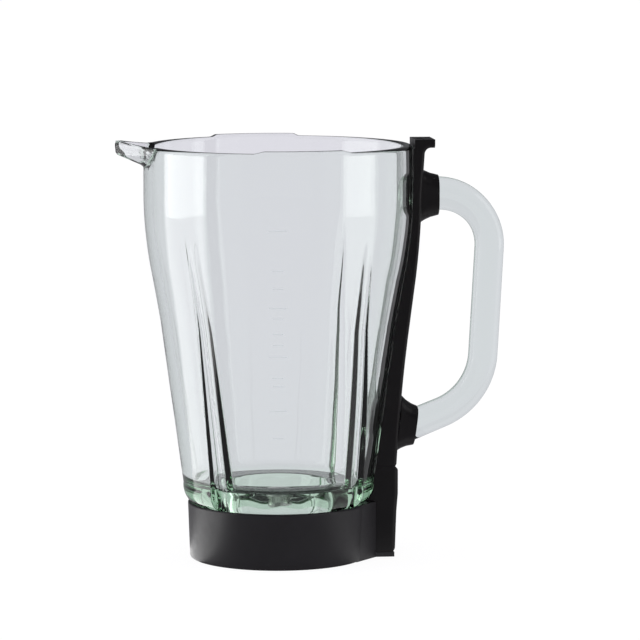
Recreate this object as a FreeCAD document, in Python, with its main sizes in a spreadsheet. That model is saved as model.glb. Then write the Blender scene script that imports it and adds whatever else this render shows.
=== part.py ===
import FreeCAD, Part
import math
import os
import re

import Sketcher
from FreeCAD import Placement, Rotation, Vector

# Glass blender jug with an integral glass handle, a black spine that carries a
# lid interlock rod down the handle side, and a black collar that holds the
# removable blade carrier.
#
# Frame: millimetres, origin on the jug's axis in the plane it stands on,
# +Z up, +X towards the handle, so the spout points along -X.

SIZES = [
    # Glass body: stations of the outer wall, from the neck up to the rim.
    ("seat_width", 11.3, "width of the flat under the heel"),
    ("neck_length", 8.9, "length of the glass neck below that flat"),
    ("bead_rise", 1.7, "how far the bead stands out from the neck"),
    ("bead_height", 1.8, "height of the bead"),
    ("heel_inset", 6.5, "how far that flat's edge lies inside the wall's foot"),
    ("seat_height", 29.35, "height of the flat under the heel"),
    ("heel_round", 12.0, "radius of the rounded heel"),
    ("foot_radius", 52.3, "outer radius where the heel meets the wall"),
    ("heel_rise", 12.1, "height of the rounded heel"),
    ("cone_flare", 12.1, "how much wider the straight cone is at its top"),
    ("cone_length", 89.0, "height of the straight cone"),
    ("shoulder_flare", 4.3, "how much wider the shoulder is than the waist"),
    ("shoulder_length", 24.5, "height from the waist to the shoulder"),
    ("rim_flare", 4.7, "how much wider the rim is than the shoulder"),
    ("bend_length", 45.5, "height over which the wall bends upright"),
    ("rim_length", 26.5, "height of the upright wall"),
    ("rim_round", 2.0, "outer rounding of the rim"),
    ("rim_lip", 1.4, "inner rounding of the rim"),
    ("glass_wall", 5.0, "thickness of the glass wall"),
    ("floor_thick", 12.1, "thickness of the glass floor over the heel's flat"),
    ("floor_round", 6.0, "inner rounding between floor and wall"),
    ("neck_wall", 6.5, "thickness of the neck round the blades' well"),
    ("rim_lug_width", 50.0, "width of each raised lug on the rim"),
    ("rim_lug_rise", 1.3, "height of each raised lug above the rim"),
    ("rim_lug_turn", 6.0, "turn of the lugs about the axis, in degrees"),
    # Flutes pressed into the wall.
    ("flute_runout", 13.5, "how far above the shoulder the flutes run out"),
    ("flute_start", 1.1, "how far above the heel's flat the flutes are deepest"),
    ("flute_depth", 4.4, "depth of a flute where the heel meets the wall"),
    ("flute_waist_depth", 1.3, "depth of a flute at the waist"),
    ("flute_round", 5.6, "radius of a flute at its bottom"),
    ("flute_waist_round", 2.3, "radius of a flute at the waist"),
    ("flute_point", 0.5, "radius of a flute at its top"),
    ("rib_wall", 4.5, "glass left between a flute and the rib behind it"),
    ("spout_flute_low", 46.4, "angle from the spout to the flutes beside it, at their foot"),
    ("spout_flute_mid", 45.0, "that angle at the waist"),
    ("spout_flute_high", 43.8, "that angle where the flutes run out"),
    ("handle_flute_low", 38.5, "angle from the handle to the flutes beside it, at their foot"),
    ("handle_flute_mid", 49.0, "that angle at the waist"),
    ("handle_flute_high", 51.2, "that angle where the flutes run out"),
    # Spout.
    ("spout_length", 16.0, "how far the spout's tip stands out from the rim"),
    ("spout_lift", 2.5, "how far the spout's tip rises above the rim"),
    ("spout_drop", 11.6, "how far below the rim the spout leaves the wall"),
    ("spout_chin", 4.5, "height of the spout's blunt tip"),
    ("spout_chin_inset", 1.0, "how far the tip's lower end lies behind its top"),
    ("spout_sink", 13.2, "how far inside the rim the spout's solid starts"),
    ("spout_spread", 26.0, "half width of the spout where it meets the wall"),
    ("spout_nose", 4.0, "half width of the spout's tip"),
    ("spout_wall", 3.2, "thickness of the spout's glass"),
    # Glass handle.
    ("grip_thick", 16.0, "thickness of the handle in the plane of the jug"),
    ("grip_wide", 13.6, "width of the handle across that plane"),
    ("grip_round", 6.0, "rounding of the handle's section"),
    ("grip_drop", 27.35, "how far the handle's upper root lies below the rim"),
    ("grip_run", 14.7, "how far from the rim's wall the upper bend starts"),
    ("grip_upper_bend", 28.5, "radius of the upper bend"),
    ("grip_lean", 3.1, "lean of the straight grip, in degrees"),
    ("grip_length", 58.9, "length of the straight grip"),
    ("grip_lower_bend", 37.2, "radius of the lower bend"),
    ("grip_root_slope", 22.0, "slope of the lower root, in degrees"),
    ("grip_root_length", 42.5, "length of the lower root, into the wall"),
    ("grip_sink", 7.4, "how far inside the wall's face the upper root starts"),
    # Spine.
    ("spine_gap", 0.4, "gap between the spine and the glass"),
    ("strip_cover", 2.1, "from the push strip's middle to the spine's side"),
    ("spine_round", 2.2, "rounding of the spine's outer edges"),
    ("spine_foot_depth", 12.0, "depth of the spine outwards from the glass at its foot"),
    ("spine_waist_depth", 7.3, "depth of the spine outwards from the glass at the waist"),
    ("spine_shoulder_depth", 6.2, "depth of the spine outwards from the glass at the shoulder"),
    ("spine_upright_depth", 4.6, "depth of the spine outwards from the glass at the upright wall"),
    ("spine_top_depth", 6.0, "depth of the spine outwards from the glass at its top, below the lid tab"),
    ("spine_low_bend", 1000.0, "radius of the outer face's hollow, low down"),
    ("spine_high_bend", 470.0, "radius of the outer face's swell, high up"),
    ("tab_overhang", 11.5, "reach of the lid tab beyond the glass"),
    ("tab_rise", 2.8, "height of the lid tab above the rim"),
    ("tab_thick", 4.6, "thickness of the lid tab"),
    ("tab_fillet", 3.5, "hollow rounding under the lid tab"),
    ("seam", 0.1, "gap at a seam between two mouldings"),
    # Ferrules of the spine round the handle's roots.
    ("ferrule_gap", 0.6, "room for the bush between ferrule and glass"),
    ("upper_ferrule_flare", 4.4, "how much taller each half of the upper ferrule is at the spine"),
    ("upper_ferrule_wall", 2.4, "the upper ferrule's wall at its end"),
    ("upper_ferrule_out", 14.5, "reach of the upper ferrule beyond the glass"),
    ("upper_ferrule_in", 3.9, "where it starts, beyond the glass"),
    ("upper_ferrule_drop", 0.9, "how far the upper ferrule lies below the handle's middle"),
    ("lower_ferrule_flare", 4.9, "how much taller each half of the lower ferrule is at the spine"),
    ("lower_ferrule_wall", 2.1, "the lower ferrule's wall at its end, and its slant"),
    ("lower_ferrule_length", 9.6, "length of the lower ferrule"),
    ("lower_ferrule_tilt", 7.4, "how far the lower ferrule points down, in degrees"),
    ("lower_ferrule_back", 24.0, "from the lower bend to the lower ferrule's start, level"),
    ("lower_ferrule_lift", 3.9, "how far its start lies above the handle's middle there"),
    ("ferrule_bulge", 1.6, "how much wider a ferrule is than its bore, across"),
    ("ferrule_taper", 0.8, "how much narrower a ferrule is at its end, across"),
    ("bush_gap", 0.1, "gap on each side of a bush"),
    ("bush_length", 8.0, "length of a bush along the handle"),
    # Heel of the spine.
    ("heel_tall", 19.05, "height of the heel above the collar"),
    ("heel_depth", 12.9, "depth of the heel outwards from the wall's foot"),
    ("heel_mid_taper", 0.8, "how much the heel tapers to mid height"),
    ("heel_low_taper", 0.8, "how much it tapers from there to its underside"),
    ("heel_upright", 15.0, "height of the heel's upright part"),
    ("heel_bend", 10.0, "from there down to where its taper changes"),
    ("heel_round_edge", 2.8, "rounding of the heel's outer edges"),
    # Collar.
    ("collar_rise", 1.6, "how far the collar rises round the glass heel"),
    ("collar_lip", 1.4, "thickness of the collar's top edge"),
    ("collar_draft", 1.0, "how much narrower the collar is at its base"),
    ("collar_room", 2.6, "room between the heel's flat and the collar's top edge"),
    ("collar_edge_round", 0.9, "rounding of the collar's top edge"),
    ("collar_wall", 2.6, "thickness of the collar's wall"),
    ("socket_wall", 2.0, "thickness of the wall round the socket"),
    ("socket_depth", 10.0, "depth of the socket for the motor base"),
    ("collar_base_round", 1.2, "rounding of the collar's lower edge"),
    ("gasket_thick", 1.5, "thickness of the neck gasket"),
    ("flange_thick", 3.2, "thickness of the collar's flange"),
    ("bead_room", 0.7, "room for the bead to pass the flange"),
    ("bridge_length", 3.0, "how far the bridge stands out from the collar"),
    ("tongue_thick", 2.5, "thickness of the tongue under the heel"),
    ("tongue_inset", 0.6, "how far the tongue ends behind the heel's face"),
    ("stack_gap", 0.1, "gap between flat faces that are clamped together"),
    ("gasket_inset", 0.7, "from the flange's edge to the gasket"),
    ("gasket_margin", 0.6, "from the gasket to the edge of the heel's flat"),
    ("clamp_thick", 1.9, "thickness of the neck clamp ring"),
    ("clamp_margin", 2.5, "from the screws' circle to the rings' outer edge"),
    ("clamp_slit", 3.0, "width of the slit in the neck clamp ring"),
    ("neck_gap", 0.3, "gap between the neck and the rings round it"),
    ("ledge_gap", 0.3, "gap between the ledges and the carrier's lugs"),
    ("bayonet_margin", 2.4, "from the screws' circle to the bayonet ring's wall"),
    ("ledge_thick", 2.4, "thickness of the bayonet ledges"),
    ("ledge_room", 0.5, "radial gap between the ledges and the carrier"),
    ("ledge_opening", 32.0, "width of each opening between the ledges"),
    ("screw_inset", 4.8, "from the bead to the circle of collar screws"),
    ("collar_screw_radius", 1.3, "shank radius of a collar screw"),
    ("collar_screw_head", 2.2, "head radius of a collar screw"),
    ("collar_screw_head_thick", 0.9, "head thickness of a collar screw"),
    ("collar_screw_bite", 2.2, "length of thread in the collar's flange"),
    ("screw_gap", 0.1, "radial gap round a screw"),
    # Blade carrier.
    ("carrier_inset", 0.1, "how much smaller the carrier's plate is than the neck"),
    ("carrier_thick", 3.5, "thickness of the plate at its edge"),
    ("seal_thick", 2.4, "thickness of the carrier seal"),
    ("hub_drop", 1.7, "how far the carrier's hub reaches below its edge"),
    ("dome_gap", 0.8, "gap between the carrier's dome and the neck"),
    ("dome_rise", 5.8, "height of the dome above the plate"),
    ("lug_gap", 0.4, "gap between the lugs' ends and the bayonet ring"),
    ("lug_width", 22.0, "width of each bayonet lug"),
    ("lug_thick", 2.8, "thickness of each bayonet lug"),
    ("seal_inset", 1.6, "from the dome to the carrier seal"),
    ("seal_margin", 0.4, "from the carrier seal to the plate's edge"),
    ("seal_gap", 0.3, "gap between the carrier seal and the neck"),
    ("housing_wall", 2.7, "thickness of the bearing housing"),
    ("hub_recess", 3.0, "how deep the housing sits in the carrier's hub"),
    ("housing_length", 12.0, "length of the bearing housing"),
    ("housing_gap", 0.05, "gap between the housing and the carrier"),
    ("bush_wall", 2.5, "thickness of the shaft bushes, with their clearance"),
    ("bush_inset", 0.4, "from the housing's end to the lower bush"),
    ("lower_bush_length", 3.5, "length of the lower bush"),
    ("bush_ledge", 0.7, "distance between the two bushes"),
    ("upper_bush_length", 3.6, "length of the upper bush"),
    ("shaft_seal_thick", 2.2, "thickness of the shaft seal"),
    # Shaft and what turns with it.
    ("shaft_radius", 4.0, "radius of the blade shaft"),
    ("running_gap", 0.04, "radial running clearance of the shaft"),
    ("coupling_cup", 0.5, "how far the coupling reaches below the shaft"),
    ("nut_grip", 2.8, "how far the shaft reaches into the cap nut"),
    ("fit_gap", 0.05, "radial gap of a part fixed on the shaft"),
    ("washer_inset", 1.0, "how much smaller the thrust washer is than the housing"),
    ("washer_thick", 0.9, "thickness of the thrust washer"),
    ("blade_thick", 1.5, "thickness of the blade steel"),
    ("blade_gap", 3.0, "clearance of the blades' tips in the well"),
    ("blade_side", 1.5, "steel beside the shaft's hole in a blade"),
    ("blade_tip_width", 3.0, "width of a blade at its tip"),
    ("blade_seat", 3.0, "from the shaft to where a blade bends"),
    ("lower_blade_drop", 1.6, "how far the lower blade's tips bend down"),
    ("upper_blade_rise", 1.7, "how far the upper blade's tips bend up"),
    ("spacer_wall", 2.5, "thickness of the blade spacer's ring"),
    ("spacer_thick", 1.2, "thickness of the blade spacer"),
    ("nut_wall", 2.4, "thickness of the cap nut's wall"),
    ("nut_height", 4.6, "height of the cap nut"),
    ("coupling_wall", 4.0, "thickness of the drive coupling's ring"),
    ("coupling_thick", 3.7, "thickness of the drive coupling"),
    ("coupling_gap", 0.2, "gap between the retaining clip and the housing"),
    ("tooth_length", 2.4, "how far the coupling's teeth stand out"),
    ("tooth_width", 3.2, "width of a coupling tooth"),
    ("clip_wall", 3.0, "width of the retaining clip's ring"),
    ("clip_thick", 0.7, "thickness of the retaining clip"),
    # Lid interlock: button, strip, pin and spring.
    ("strip_thick", 1.6, "thickness of the push strip, outwards"),
    ("strip_width", 1.2, "width of the push strip, across"),
    ("strip_gap", 0.4, "room round the push strip in its channel"),
    ("strip_side", 2.0, "from the handle's bore to the strip's middle"),
    ("strip_bend", 300.0, "radius of the strip's bend at the shoulder"),
    ("strip_sink", 4.0, "how far the strip's lower end lies inside the heel"),
    ("button_offset", 0.7, "distance of the button outwards from the strip's end"),
    ("button_thick", 3.1, "thickness of the button on top of the strip"),
    ("button_width", 8.0, "width of the button"),
    ("button_shift", 3.3, "from the strip to the button's middle"),
    ("button_height", 3.4, "height of the button"),
    ("button_sink", 0.2, "depth of the button's top below the tab's top"),
    ("button_gap", 0.3, "gap round the button in its pocket"),
    ("rod_travel", 2.5, "travel of button, strip and pin"),
    ("pin_inset", 6.3, "from the bridge to the pin"),
    ("pin_shift", 2.4, "from the strip to the pin, across"),
    ("pin_radius", 2.0, "radius of the pin at the foot of the strip"),
    ("pin_sink", 1.5, "how far the pin's end lies inside the heel"),
    ("pin_head_radius", 3.2, "radius of the pin's head"),
    ("pin_head_thick", 3.0, "thickness of the pin's head"),
    ("pin_gap", 0.3, "radial gap round the pin in its guide"),
    ("seat_thick", 3.8, "thickness of the heel under the spring"),
    ("spring_wire", 0.4, "radius of the spring's wire"),
    ("spring_turns", 9.0, "number of turns of the spring"),
    ("spring_radius", 2.75, "mean radius of the spring"),
    ("well_gap", 0.35, "radial gap round the pin's head and spring"),
    # Pads between spine and glass, and the other screws.
    ("pad_thick", 1.3, "thickness of the pads behind the spine"),
    ("pad_height", 11.0, "height of each pad"),
    ("pad_width", 14.0, "width of each pad"),
    ("lower_pad_drop", 37.0, "how far the lower pad starts below the waist"),
    ("upper_pad_drop", 12.0, "how far the upper pad starts below the waist"),
    ("pad_gap", 0.1, "gap on each face of a pad"),
    ("spine_screw_radius", 1.0, "shank radius of a spine screw"),
    ("spine_screw_head", 1.8, "head radius of a spine screw"),
    ("spine_screw_head_thick", 1.2, "head thickness of a spine screw"),
    ("spine_screw_sink", 0.5, "depth of a spine screw's head below the surface"),
    ("spine_screw_length", 15.0, "length of a spine screw"),
    ("tab_screw_inset", 2.4, "distance of the tab screw from the tab's end"),
    ("foot_spine_screw_rise", 5.0, "height of the lower spine screw above the heel"),
    ("foot_spine_screw_inset", 2.3, "distance of that screw from the outer face"),
    ("foot_screw_radius", 1.2, "shank radius of a foot screw"),
    ("foot_screw_head", 2.2, "head radius of a foot screw"),
    ("foot_screw_head_thick", 1.1, "head thickness of a foot screw"),
    ("foot_screw_sink", 0.3, "depth of a foot screw's head above the base plane"),
    ("foot_screw_length", 10.0, "length of a foot screw"),
    ("foot_screw_inner", 1.2, "distance of the inner foot screw from the mid plane"),
    ("foot_screw_outer", 8.0, "distance of the outer foot screw from the mid plane"),
    # How far a cutting tool runs past the solid that it cuts.
    ("overrun", 2.0, "how far a tool runs past what it cuts"),
]

# Sizes that follow from others, each in terms of the sizes above or of one another.
LINKED = {
    "neck_radius": "seat_radius - seat_width",
    "neck_bottom": "seat_height - neck_length",
    "bead_radius": "neck_radius + bead_rise",
    "seat_radius": "foot_radius - heel_inset",
    "foot_height": "seat_height + heel_rise",
    "waist_radius": "foot_radius + cone_flare",
    "waist_height": "foot_height + cone_length",
    "shoulder_radius": "waist_radius + shoulder_flare",
    "shoulder_height": "waist_height + shoulder_length",
    "rim_radius": "shoulder_radius + rim_flare",
    "upright_height": "shoulder_height + bend_length",
    "rim_height": "upright_height + rim_length",
    "floor_height": "seat_height + floor_thick",
    "well_radius": "neck_radius - neck_wall",
    "flute_top": "shoulder_height + flute_runout",
    "flute_bottom": "seat_height + flute_start",
    "spout_reach": "rim_radius + spout_length",
    "spout_top": "rim_height + spout_lift",
    "spout_root": "rim_height - spout_drop",
    "grip_height": "rim_height - grip_drop",
    "grip_bend_start": "rim_radius + grip_run",
    "grip_root_start": "rim_radius - grip_sink",
    "spine_width": "2 * (strip_place + strip_cover)",
    "spine_foot_reach": "foot_radius + spine_foot_depth",
    "spine_waist_reach": "waist_radius + spine_waist_depth",
    "spine_shoulder_reach": "shoulder_radius + spine_shoulder_depth",
    "spine_upright_reach": "rim_radius + spine_upright_depth",
    "spine_top_reach": "rim_radius + spine_top_depth",
    "tab_reach": "rim_radius + tab_overhang",
    "tab_inner": "rim_radius + spine_gap",
    "tab_top": "rim_height + tab_rise",
    "upper_ferrule_base": "upper_ferrule_end + upper_ferrule_flare",
    "upper_ferrule_end": "grip_thick / 2 + ferrule_gap + upper_ferrule_wall",
    "upper_ferrule_reach": "rim_radius + upper_ferrule_out",
    "upper_ferrule_start": "rim_radius + upper_ferrule_in",
    "lower_ferrule_base": "lower_ferrule_end + lower_ferrule_flare",
    "lower_ferrule_end": "grip_thick / 2 + ferrule_gap + lower_ferrule_wall",
    "heel_top": "collar_height + heel_tall",
    "heel_bottom": "tongue_thick + 2 * stack_gap",
    "heel_reach": "foot_radius + heel_depth",
    "heel_mid_reach": "heel_reach - heel_mid_taper",
    "heel_low_reach": "heel_mid_reach - heel_low_taper",
    "heel_step_height": "heel_top - heel_upright",
    "heel_mid_height": "heel_step_height - heel_bend",
    "collar_height": "seat_height + collar_rise",
    "collar_top_radius": "collar_lip_radius + collar_lip",
    "collar_base_radius": "collar_top_radius - collar_draft",
    "collar_lip_radius": "seat_radius + collar_room",
    "collar_inner_radius": "collar_base_radius - collar_wall",
    "socket_radius": "collar_base_radius - socket_wall",
    "flange_top": "seat_height - gasket_thick - 2 * stack_gap",
    "flange_bottom": "flange_top - flange_thick",
    "flange_radius": "bead_radius + bead_room",
    "bridge_reach": "collar_top_radius + bridge_length",
    "tongue_reach": "heel_low_reach - tongue_inset",
    "gasket_inner": "flange_radius + gasket_inset",
    "gasket_outer": "seat_radius - gasket_margin",
    "clamp_outer": "collar_screw_circle + clamp_margin",
    "bayonet_bottom": "carrier_bottom - ledge_thick - ledge_gap",
    "bayonet_inner": "collar_screw_circle - bayonet_margin",
    "ledge_inner": "carrier_radius + ledge_room",
    "collar_screw_circle": "bead_radius + screw_inset",
    "carrier_radius": "neck_radius - carrier_inset",
    "carrier_bottom": "carrier_top - carrier_thick",
    "carrier_top": "neck_bottom - seal_thick - seal_gap - stack_gap",
    "carrier_hub_bottom": "carrier_bottom - hub_drop",
    "carrier_dome_radius": "well_radius - dome_gap",
    "carrier_dome_top": "carrier_top + dome_rise",
    "lug_reach": "bayonet_inner - lug_gap",
    "seal_inner": "carrier_dome_radius + seal_inset",
    "seal_outer": "carrier_radius - seal_margin",
    "housing_radius": "bush_outer + housing_wall",
    "housing_bottom": "carrier_hub_bottom + hub_recess",
    "housing_top": "housing_bottom + housing_length",
    "bush_outer": "shaft_radius + bush_wall",
    "lower_bush_bottom": "housing_bottom + bush_inset",
    "upper_bush_bottom": "lower_bush_bottom + lower_bush_length + bush_ledge",
    "shaft_bottom": "coupling_bottom + coupling_cup",
    "shaft_top": ("housing_top + seal_gap + washer_thick + 2 * blade_thick"
        " + spacer_thick + 4 * stack_gap + nut_grip"),
    "washer_radius": "housing_radius - washer_inset",
    "blade_reach": "well_radius - blade_gap",
    "blade_width": "2 * (shaft_radius + blade_side)",
    "blade_hub": "shaft_radius + blade_seat",
    "spacer_radius": "shaft_radius + spacer_wall",
    "nut_radius": "shaft_radius + nut_wall",
    "coupling_radius": "shaft_radius + coupling_wall",
    "coupling_bottom": "housing_bottom - coupling_gap - clip_thick - stack_gap - coupling_thick",
    "tooth_reach": "coupling_radius + tooth_length",
    "clip_radius": "shaft_radius + clip_wall",
    "strip_place": "grip_wide / 2 + ferrule_gap + strip_side",
    "strip_bottom": "heel_top - strip_sink",
    "button_place": "strip_place - button_shift",
    "pin_place": "bridge_reach + pin_inset",
    "pin_side": "strip_place - pin_shift",
    "pin_bottom": "heel_bottom + pin_sink",
    "spring_seat": "heel_bottom + seat_thick",
    "lower_pad_height": "waist_height - lower_pad_drop",
    "upper_pad_height": "waist_height - upper_pad_drop",
    "foot_spine_screw_height": "heel_top + foot_spine_screw_rise",
}

# Each flute's place: 1 beside the handle or -1 beside the spout, and its side.
FLUTE_PLACES = ((1, 1), (-1, 1), (-1, -1), (1, -1))
LEDGE_COUNT = 3
COLLAR_SCREW_COUNT = 6
TOOTH_COUNT = 6
# Shares of a ferrule's length, and of its narrowing that is done by then.
FERRULE_FLARE = ((0.0, 0.0), (0.3, 0.45), (0.6, 0.76), (1.0, 1.0))
# How far the blade carrier turns, in degrees, until its lugs face the openings.
CARRIER_TURN = 45

document = FreeCAD.newDocument("BlenderJug")
sheet = document.addObject("Spreadsheet::Sheet", "Sizes")
for row, (alias, number, meaning) in enumerate(SIZES, start=1):
    sheet.set(f"A{row}", meaning)
    sheet.set(f"B{row}", str(number))
    sheet.setAlias(f"B{row}", alias)
document.recompute()

ALIASES = {alias for alias, _, _ in SIZES}
nodes = {}


# ---------------------------------------------------------------- helpers

def bound(expression):
    """Write out linked sizes, and the sheet's name in front of every size in it."""
    def named(word):
        if word.group() in LINKED:
            return f"({bound(LINKED[word.group()])})"
        return "Sizes." + word.group() if word.group() in ALIASES else word.group()

    return re.sub(r"[a-z_]+", named, str(expression))


def value(expression):
    """Work out an expression of sizes as a plain number."""
    result = sheet.evalExpression(bound(expression))
    return float(getattr(result, "Value", result))


def bind(item, **expressions):
    """Bind properties of an object; a double underscore stands for a dot."""
    for name, expression in expressions.items():
        item.setExpression(name.replace("__", "."), bound(expression))


def place(item, x="0", y="0", z="0", axis=None, angle="0"):
    """Bind an object's place, after turning it by an angle about an axis."""
    if axis is not None:
        item.Placement = Placement(Vector(), Rotation(Vector(*axis), 1.0))
        bind(item, Placement__Rotation__Angle=angle)
    bind(item, Placement__Base__x=x, Placement__Base__y=y, Placement__Base__z=z)
    return item


def add(kind, name, **expressions):
    """Add an object of a kind to the document and bind its sizes."""
    item = document.addObject(kind, name)
    bind(item, **expressions)
    return item


def node(label, item):
    """Register an object as the sub-part that its label names."""
    item.Label = label
    nodes[label] = item
    return item


def cut(base, *tools, name="Trimmed"):
    """Cut tools away from a base, one after the other."""
    for tool in tools:
        trimmed = document.addObject("Part::Cut", name)
        trimmed.Base = base
        trimmed.Tool = tool
        base = trimmed
    return base


def join(*parts, name="Joined"):
    """Fuse parts into one solid."""
    joined = document.addObject("Part::MultiFuse", name)
    joined.Shapes = list(parts)
    joined.Refine = True
    return joined


def overlap(*parts, name="Shared"):
    """Keep what all parts share."""
    shared = document.addObject("Part::MultiCommon", name)
    shared.Shapes = list(parts)
    return shared


def group(*parts, name="Group"):
    """Hold separate solids in one sub-part."""
    compound = document.addObject("Part::Compound", name)
    compound.Links = list(parts)
    return compound


def box(x, y, z, length, width, height, name="Block"):
    """Add a box from its lowest corner and its three sides."""
    block = add("Part::Box", name, Length=length, Width=width, Height=height)
    return place(block, x, y, z)


def rod(radius, z, height, x="0", y="0", name="Rod"):
    """Add an upright cylinder."""
    return place(add("Part::Cylinder", name, Radius=radius, Height=height), x, y, z)


def arc_between(first, last, radius):
    """Make the counter-clockwise arc of a radius from one point to another."""
    chord = last - first
    middle = (first + last) * 0.5
    half = chord.Length / 2
    outward = Vector(chord.y, -chord.x, 0).normalize()
    sagitta = radius - math.sqrt(max(radius ** 2 - half ** 2, 0.0))
    return Part.Arc(first, middle + outward * sagitta, last)


def sketch(body, role, corners, lift="0", closed=True):
    """Draw a fully constrained outline on one of a body's origin planes.

    A corner is (across, up), and the edge after it is straight. With a radius
    and "left" or "right" as its third and fourth terms, that edge is an arc
    that turns that way.
    """
    drawn = body.newObject("Sketcher::SketchObject", "Outline")
    plane = next(item for item in body.Origin.OriginFeatures if item.Role == role)
    drawn.AttachmentSupport = (plane, [""])
    drawn.MapMode = "FlatFace"
    if lift != "0":
        bind(drawn, AttachmentOffset__Base__z=lift)
    points = [Vector(value(corner[0]), value(corner[1]), 0) for corner in corners]
    edge_count = len(corners) if closed else len(corners) - 1
    ends = []
    for index in range(edge_count):
        corner = corners[index]
        start, finish = points[index], points[(index + 1) % len(points)]
        if len(corner) == 2:
            drawn.addGeometry(Part.LineSegment(start, finish))
            ends.append((1, 2))
        elif corner[3] == "left":
            drawn.addGeometry(arc_between(start, finish, value(corner[2])))
            ends.append((1, 2))
        else:
            drawn.addGeometry(arc_between(finish, start, value(corner[2])))
            ends.append((2, 1))
    for index in range(edge_count if closed else edge_count - 1):
        following = (index + 1) % edge_count
        drawn.addConstraint(Sketcher.Constraint(
            "Coincident", index, ends[index][1], following, ends[following][0]))
    for index, corner in enumerate(corners):
        edge, end = (index, ends[index][0]) if index < edge_count else (index - 1, ends[index - 1][1])
        for kind, term in (("DistanceX", corner[0]), ("DistanceY", corner[1])):
            fix(drawn, Sketcher.Constraint(kind, edge, end, value(term)), term)
        if len(corner) > 2 and index < edge_count:
            fix(drawn, Sketcher.Constraint("Radius", index, value(corner[2])), corner[2])
    return drawn


def fix(drawn, constraint, term):
    """Add a measured constraint and bind it to its expression."""
    number = drawn.addConstraint(constraint)
    drawn.setExpression(f"Constraints[{number}]", bound(term))


def new_body(name):
    """Add an empty body."""
    return document.addObject("PartDesign::Body", name)


def turned(name, corners):
    """Turn an outline of radius and height about the upright axis."""
    body = new_body(name)
    outline = sketch(body, "XZ_Plane", corners)
    feature = body.newObject("PartDesign::Revolution", "Turn")
    feature.Profile = outline
    feature.ReferenceAxis = (outline, ["V_Axis"])
    feature.Angle = 360
    return body


def padded(name, role, corners, length):
    """Pad an outline by a length, half to each side of its plane."""
    body = new_body(name)
    outline = sketch(body, role, corners)
    feature = body.newObject("PartDesign::Pad", "Pad")
    feature.Profile = outline
    feature.Midplane = True
    bind(feature, Length=length)
    return body


def lofted(name, role, sections):
    """Loft between outlines, each given as (corners, lift from the plane)."""
    body = new_body(name)
    outlines = [sketch(body, role, corners, lift) for corners, lift in sections]
    feature = body.newObject("PartDesign::AdditiveLoft", "Loft")
    feature.Profile = outlines[0]
    feature.Sections = outlines[1:]
    feature.Ruled = True
    return body


def rounded(body, radius, wanted):
    """Round the edges of a body whose end points all pass a test."""
    document.recompute()
    base = body.Tip
    edges = [f"Edge{number}" for number, edge in enumerate(base.Shape.Edges, start=1)
             if all(wanted(vertex.Point) for vertex in edge.Vertexes)]
    feature = body.newObject("PartDesign::Fillet", "Round")
    feature.Base = (base, edges)
    bind(feature, Radius=radius)
    body.Tip = feature
    return body


def ring(name, inner, outer, bottom, top):
    """Turn a plain ring."""
    return turned(name, [(inner, bottom), (outer, bottom), (outer, top), (inner, top)])


def around(make, count, start=0):
    """Make copies of a tool at equal angles round the jug's axis."""
    return [make(start + 360 / count * step) for step in range(count)]


def radial_box(angle, inner, outer, width, bottom, top, name="Radial"):
    """Make a box that lies along a ray from the axis, centred on that ray."""
    block = add("Part::Box", name, Length=f"({outer}) - ({inner})", Width=width,
                Height=f"({top}) - ({bottom})")
    block.Placement = Placement(Vector(), Rotation(Vector(0, 0, 1), angle))
    across = f"({width}) / 2"
    return place(block,
                 f"({inner}) * cos({angle}) + {across} * sin({angle})",
                 f"({inner}) * sin({angle}) - {across} * cos({angle})", bottom)


def screw(shank, head, head_thick, length, name="Screw"):
    """Turn a screw that points up, its head's underside at height zero."""
    return turned(name, [
        ("0", f"0 - ({head_thick})"), (f"({head}) * 0.7", f"0 - ({head_thick})"),
        (head, f"0 - ({head_thick}) * 0.6"), (head, "0"), (shank, "0"),
        (shank, f"({length}) - ({shank})"), ("0", length)])


# ------------------------------------------------------------- glass jug

SHOULDER_ROUND = ("((rim_radius - shoulder_radius)^2 + (upright_height - shoulder_height)^2)"
                  " / (2 * (rim_radius - shoulder_radius))")


def jug_outline(gap):
    """Outline the full jug's outer wall, moved outwards by a gap."""
    return [
        ("0", "neck_bottom"),
        (f"neck_radius + {gap}", "neck_bottom"),
        (f"neck_radius + {gap}", "seat_height"),
        (f"seat_radius + {gap}", "seat_height", f"heel_round + {gap}", "left"),
        (f"foot_radius + {gap}", "foot_height"),
        (f"waist_radius + {gap}", "waist_height"),
        (f"shoulder_radius + {gap}", "shoulder_height", f"{SHOULDER_ROUND} + {gap}", "left"),
        (f"rim_radius + {gap}", "upright_height"),
        (f"rim_radius + {gap}", "rim_height - rim_round", f"rim_round + {gap}", "left"),
        ("rim_radius - rim_round", f"rim_height + {gap}"),
        ("0", f"rim_height + {gap}"),
    ]


def cavity_outline():
    """Outline the room inside the jug, with the hole for the blades below it."""
    inside = "rim_radius - glass_wall"
    return [
        ("0", "neck_bottom - overrun"),
        ("well_radius", "neck_bottom - overrun"),
        ("well_radius", "floor_height"),
        ("foot_radius - glass_wall - floor_round", "floor_height", "floor_round", "left"),
        ("foot_radius - glass_wall", "floor_height + floor_round"),
        ("waist_radius - glass_wall", "waist_height"),
        ("shoulder_radius - glass_wall", "shoulder_height",
         f"{SHOULDER_ROUND} - glass_wall", "left"),
        (inside, "upright_height"),
        (inside, "rim_height - rim_lip", "rim_lip", "right"),
        (f"{inside} + rim_lip", "rim_height"),
        (f"{inside} + rim_lip", "rim_height + rim_lug_rise + overrun"),
        ("0", "rim_height + rim_lug_rise + overrun"),
    ]


FLUTE_FOOT = "(foot_radius - flute_depth)"
FLUTE_WAIST = "(waist_radius - flute_waist_depth)"
FLUTE_TOP = "((shoulder_radius + rim_radius) / 2)"
FLUTE_BOTTOM = (f"({FLUTE_FOOT} - (foot_height - flute_bottom)"
                f" * ({FLUTE_WAIST} - {FLUTE_FOOT}) / (waist_height - foot_height))")


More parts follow.
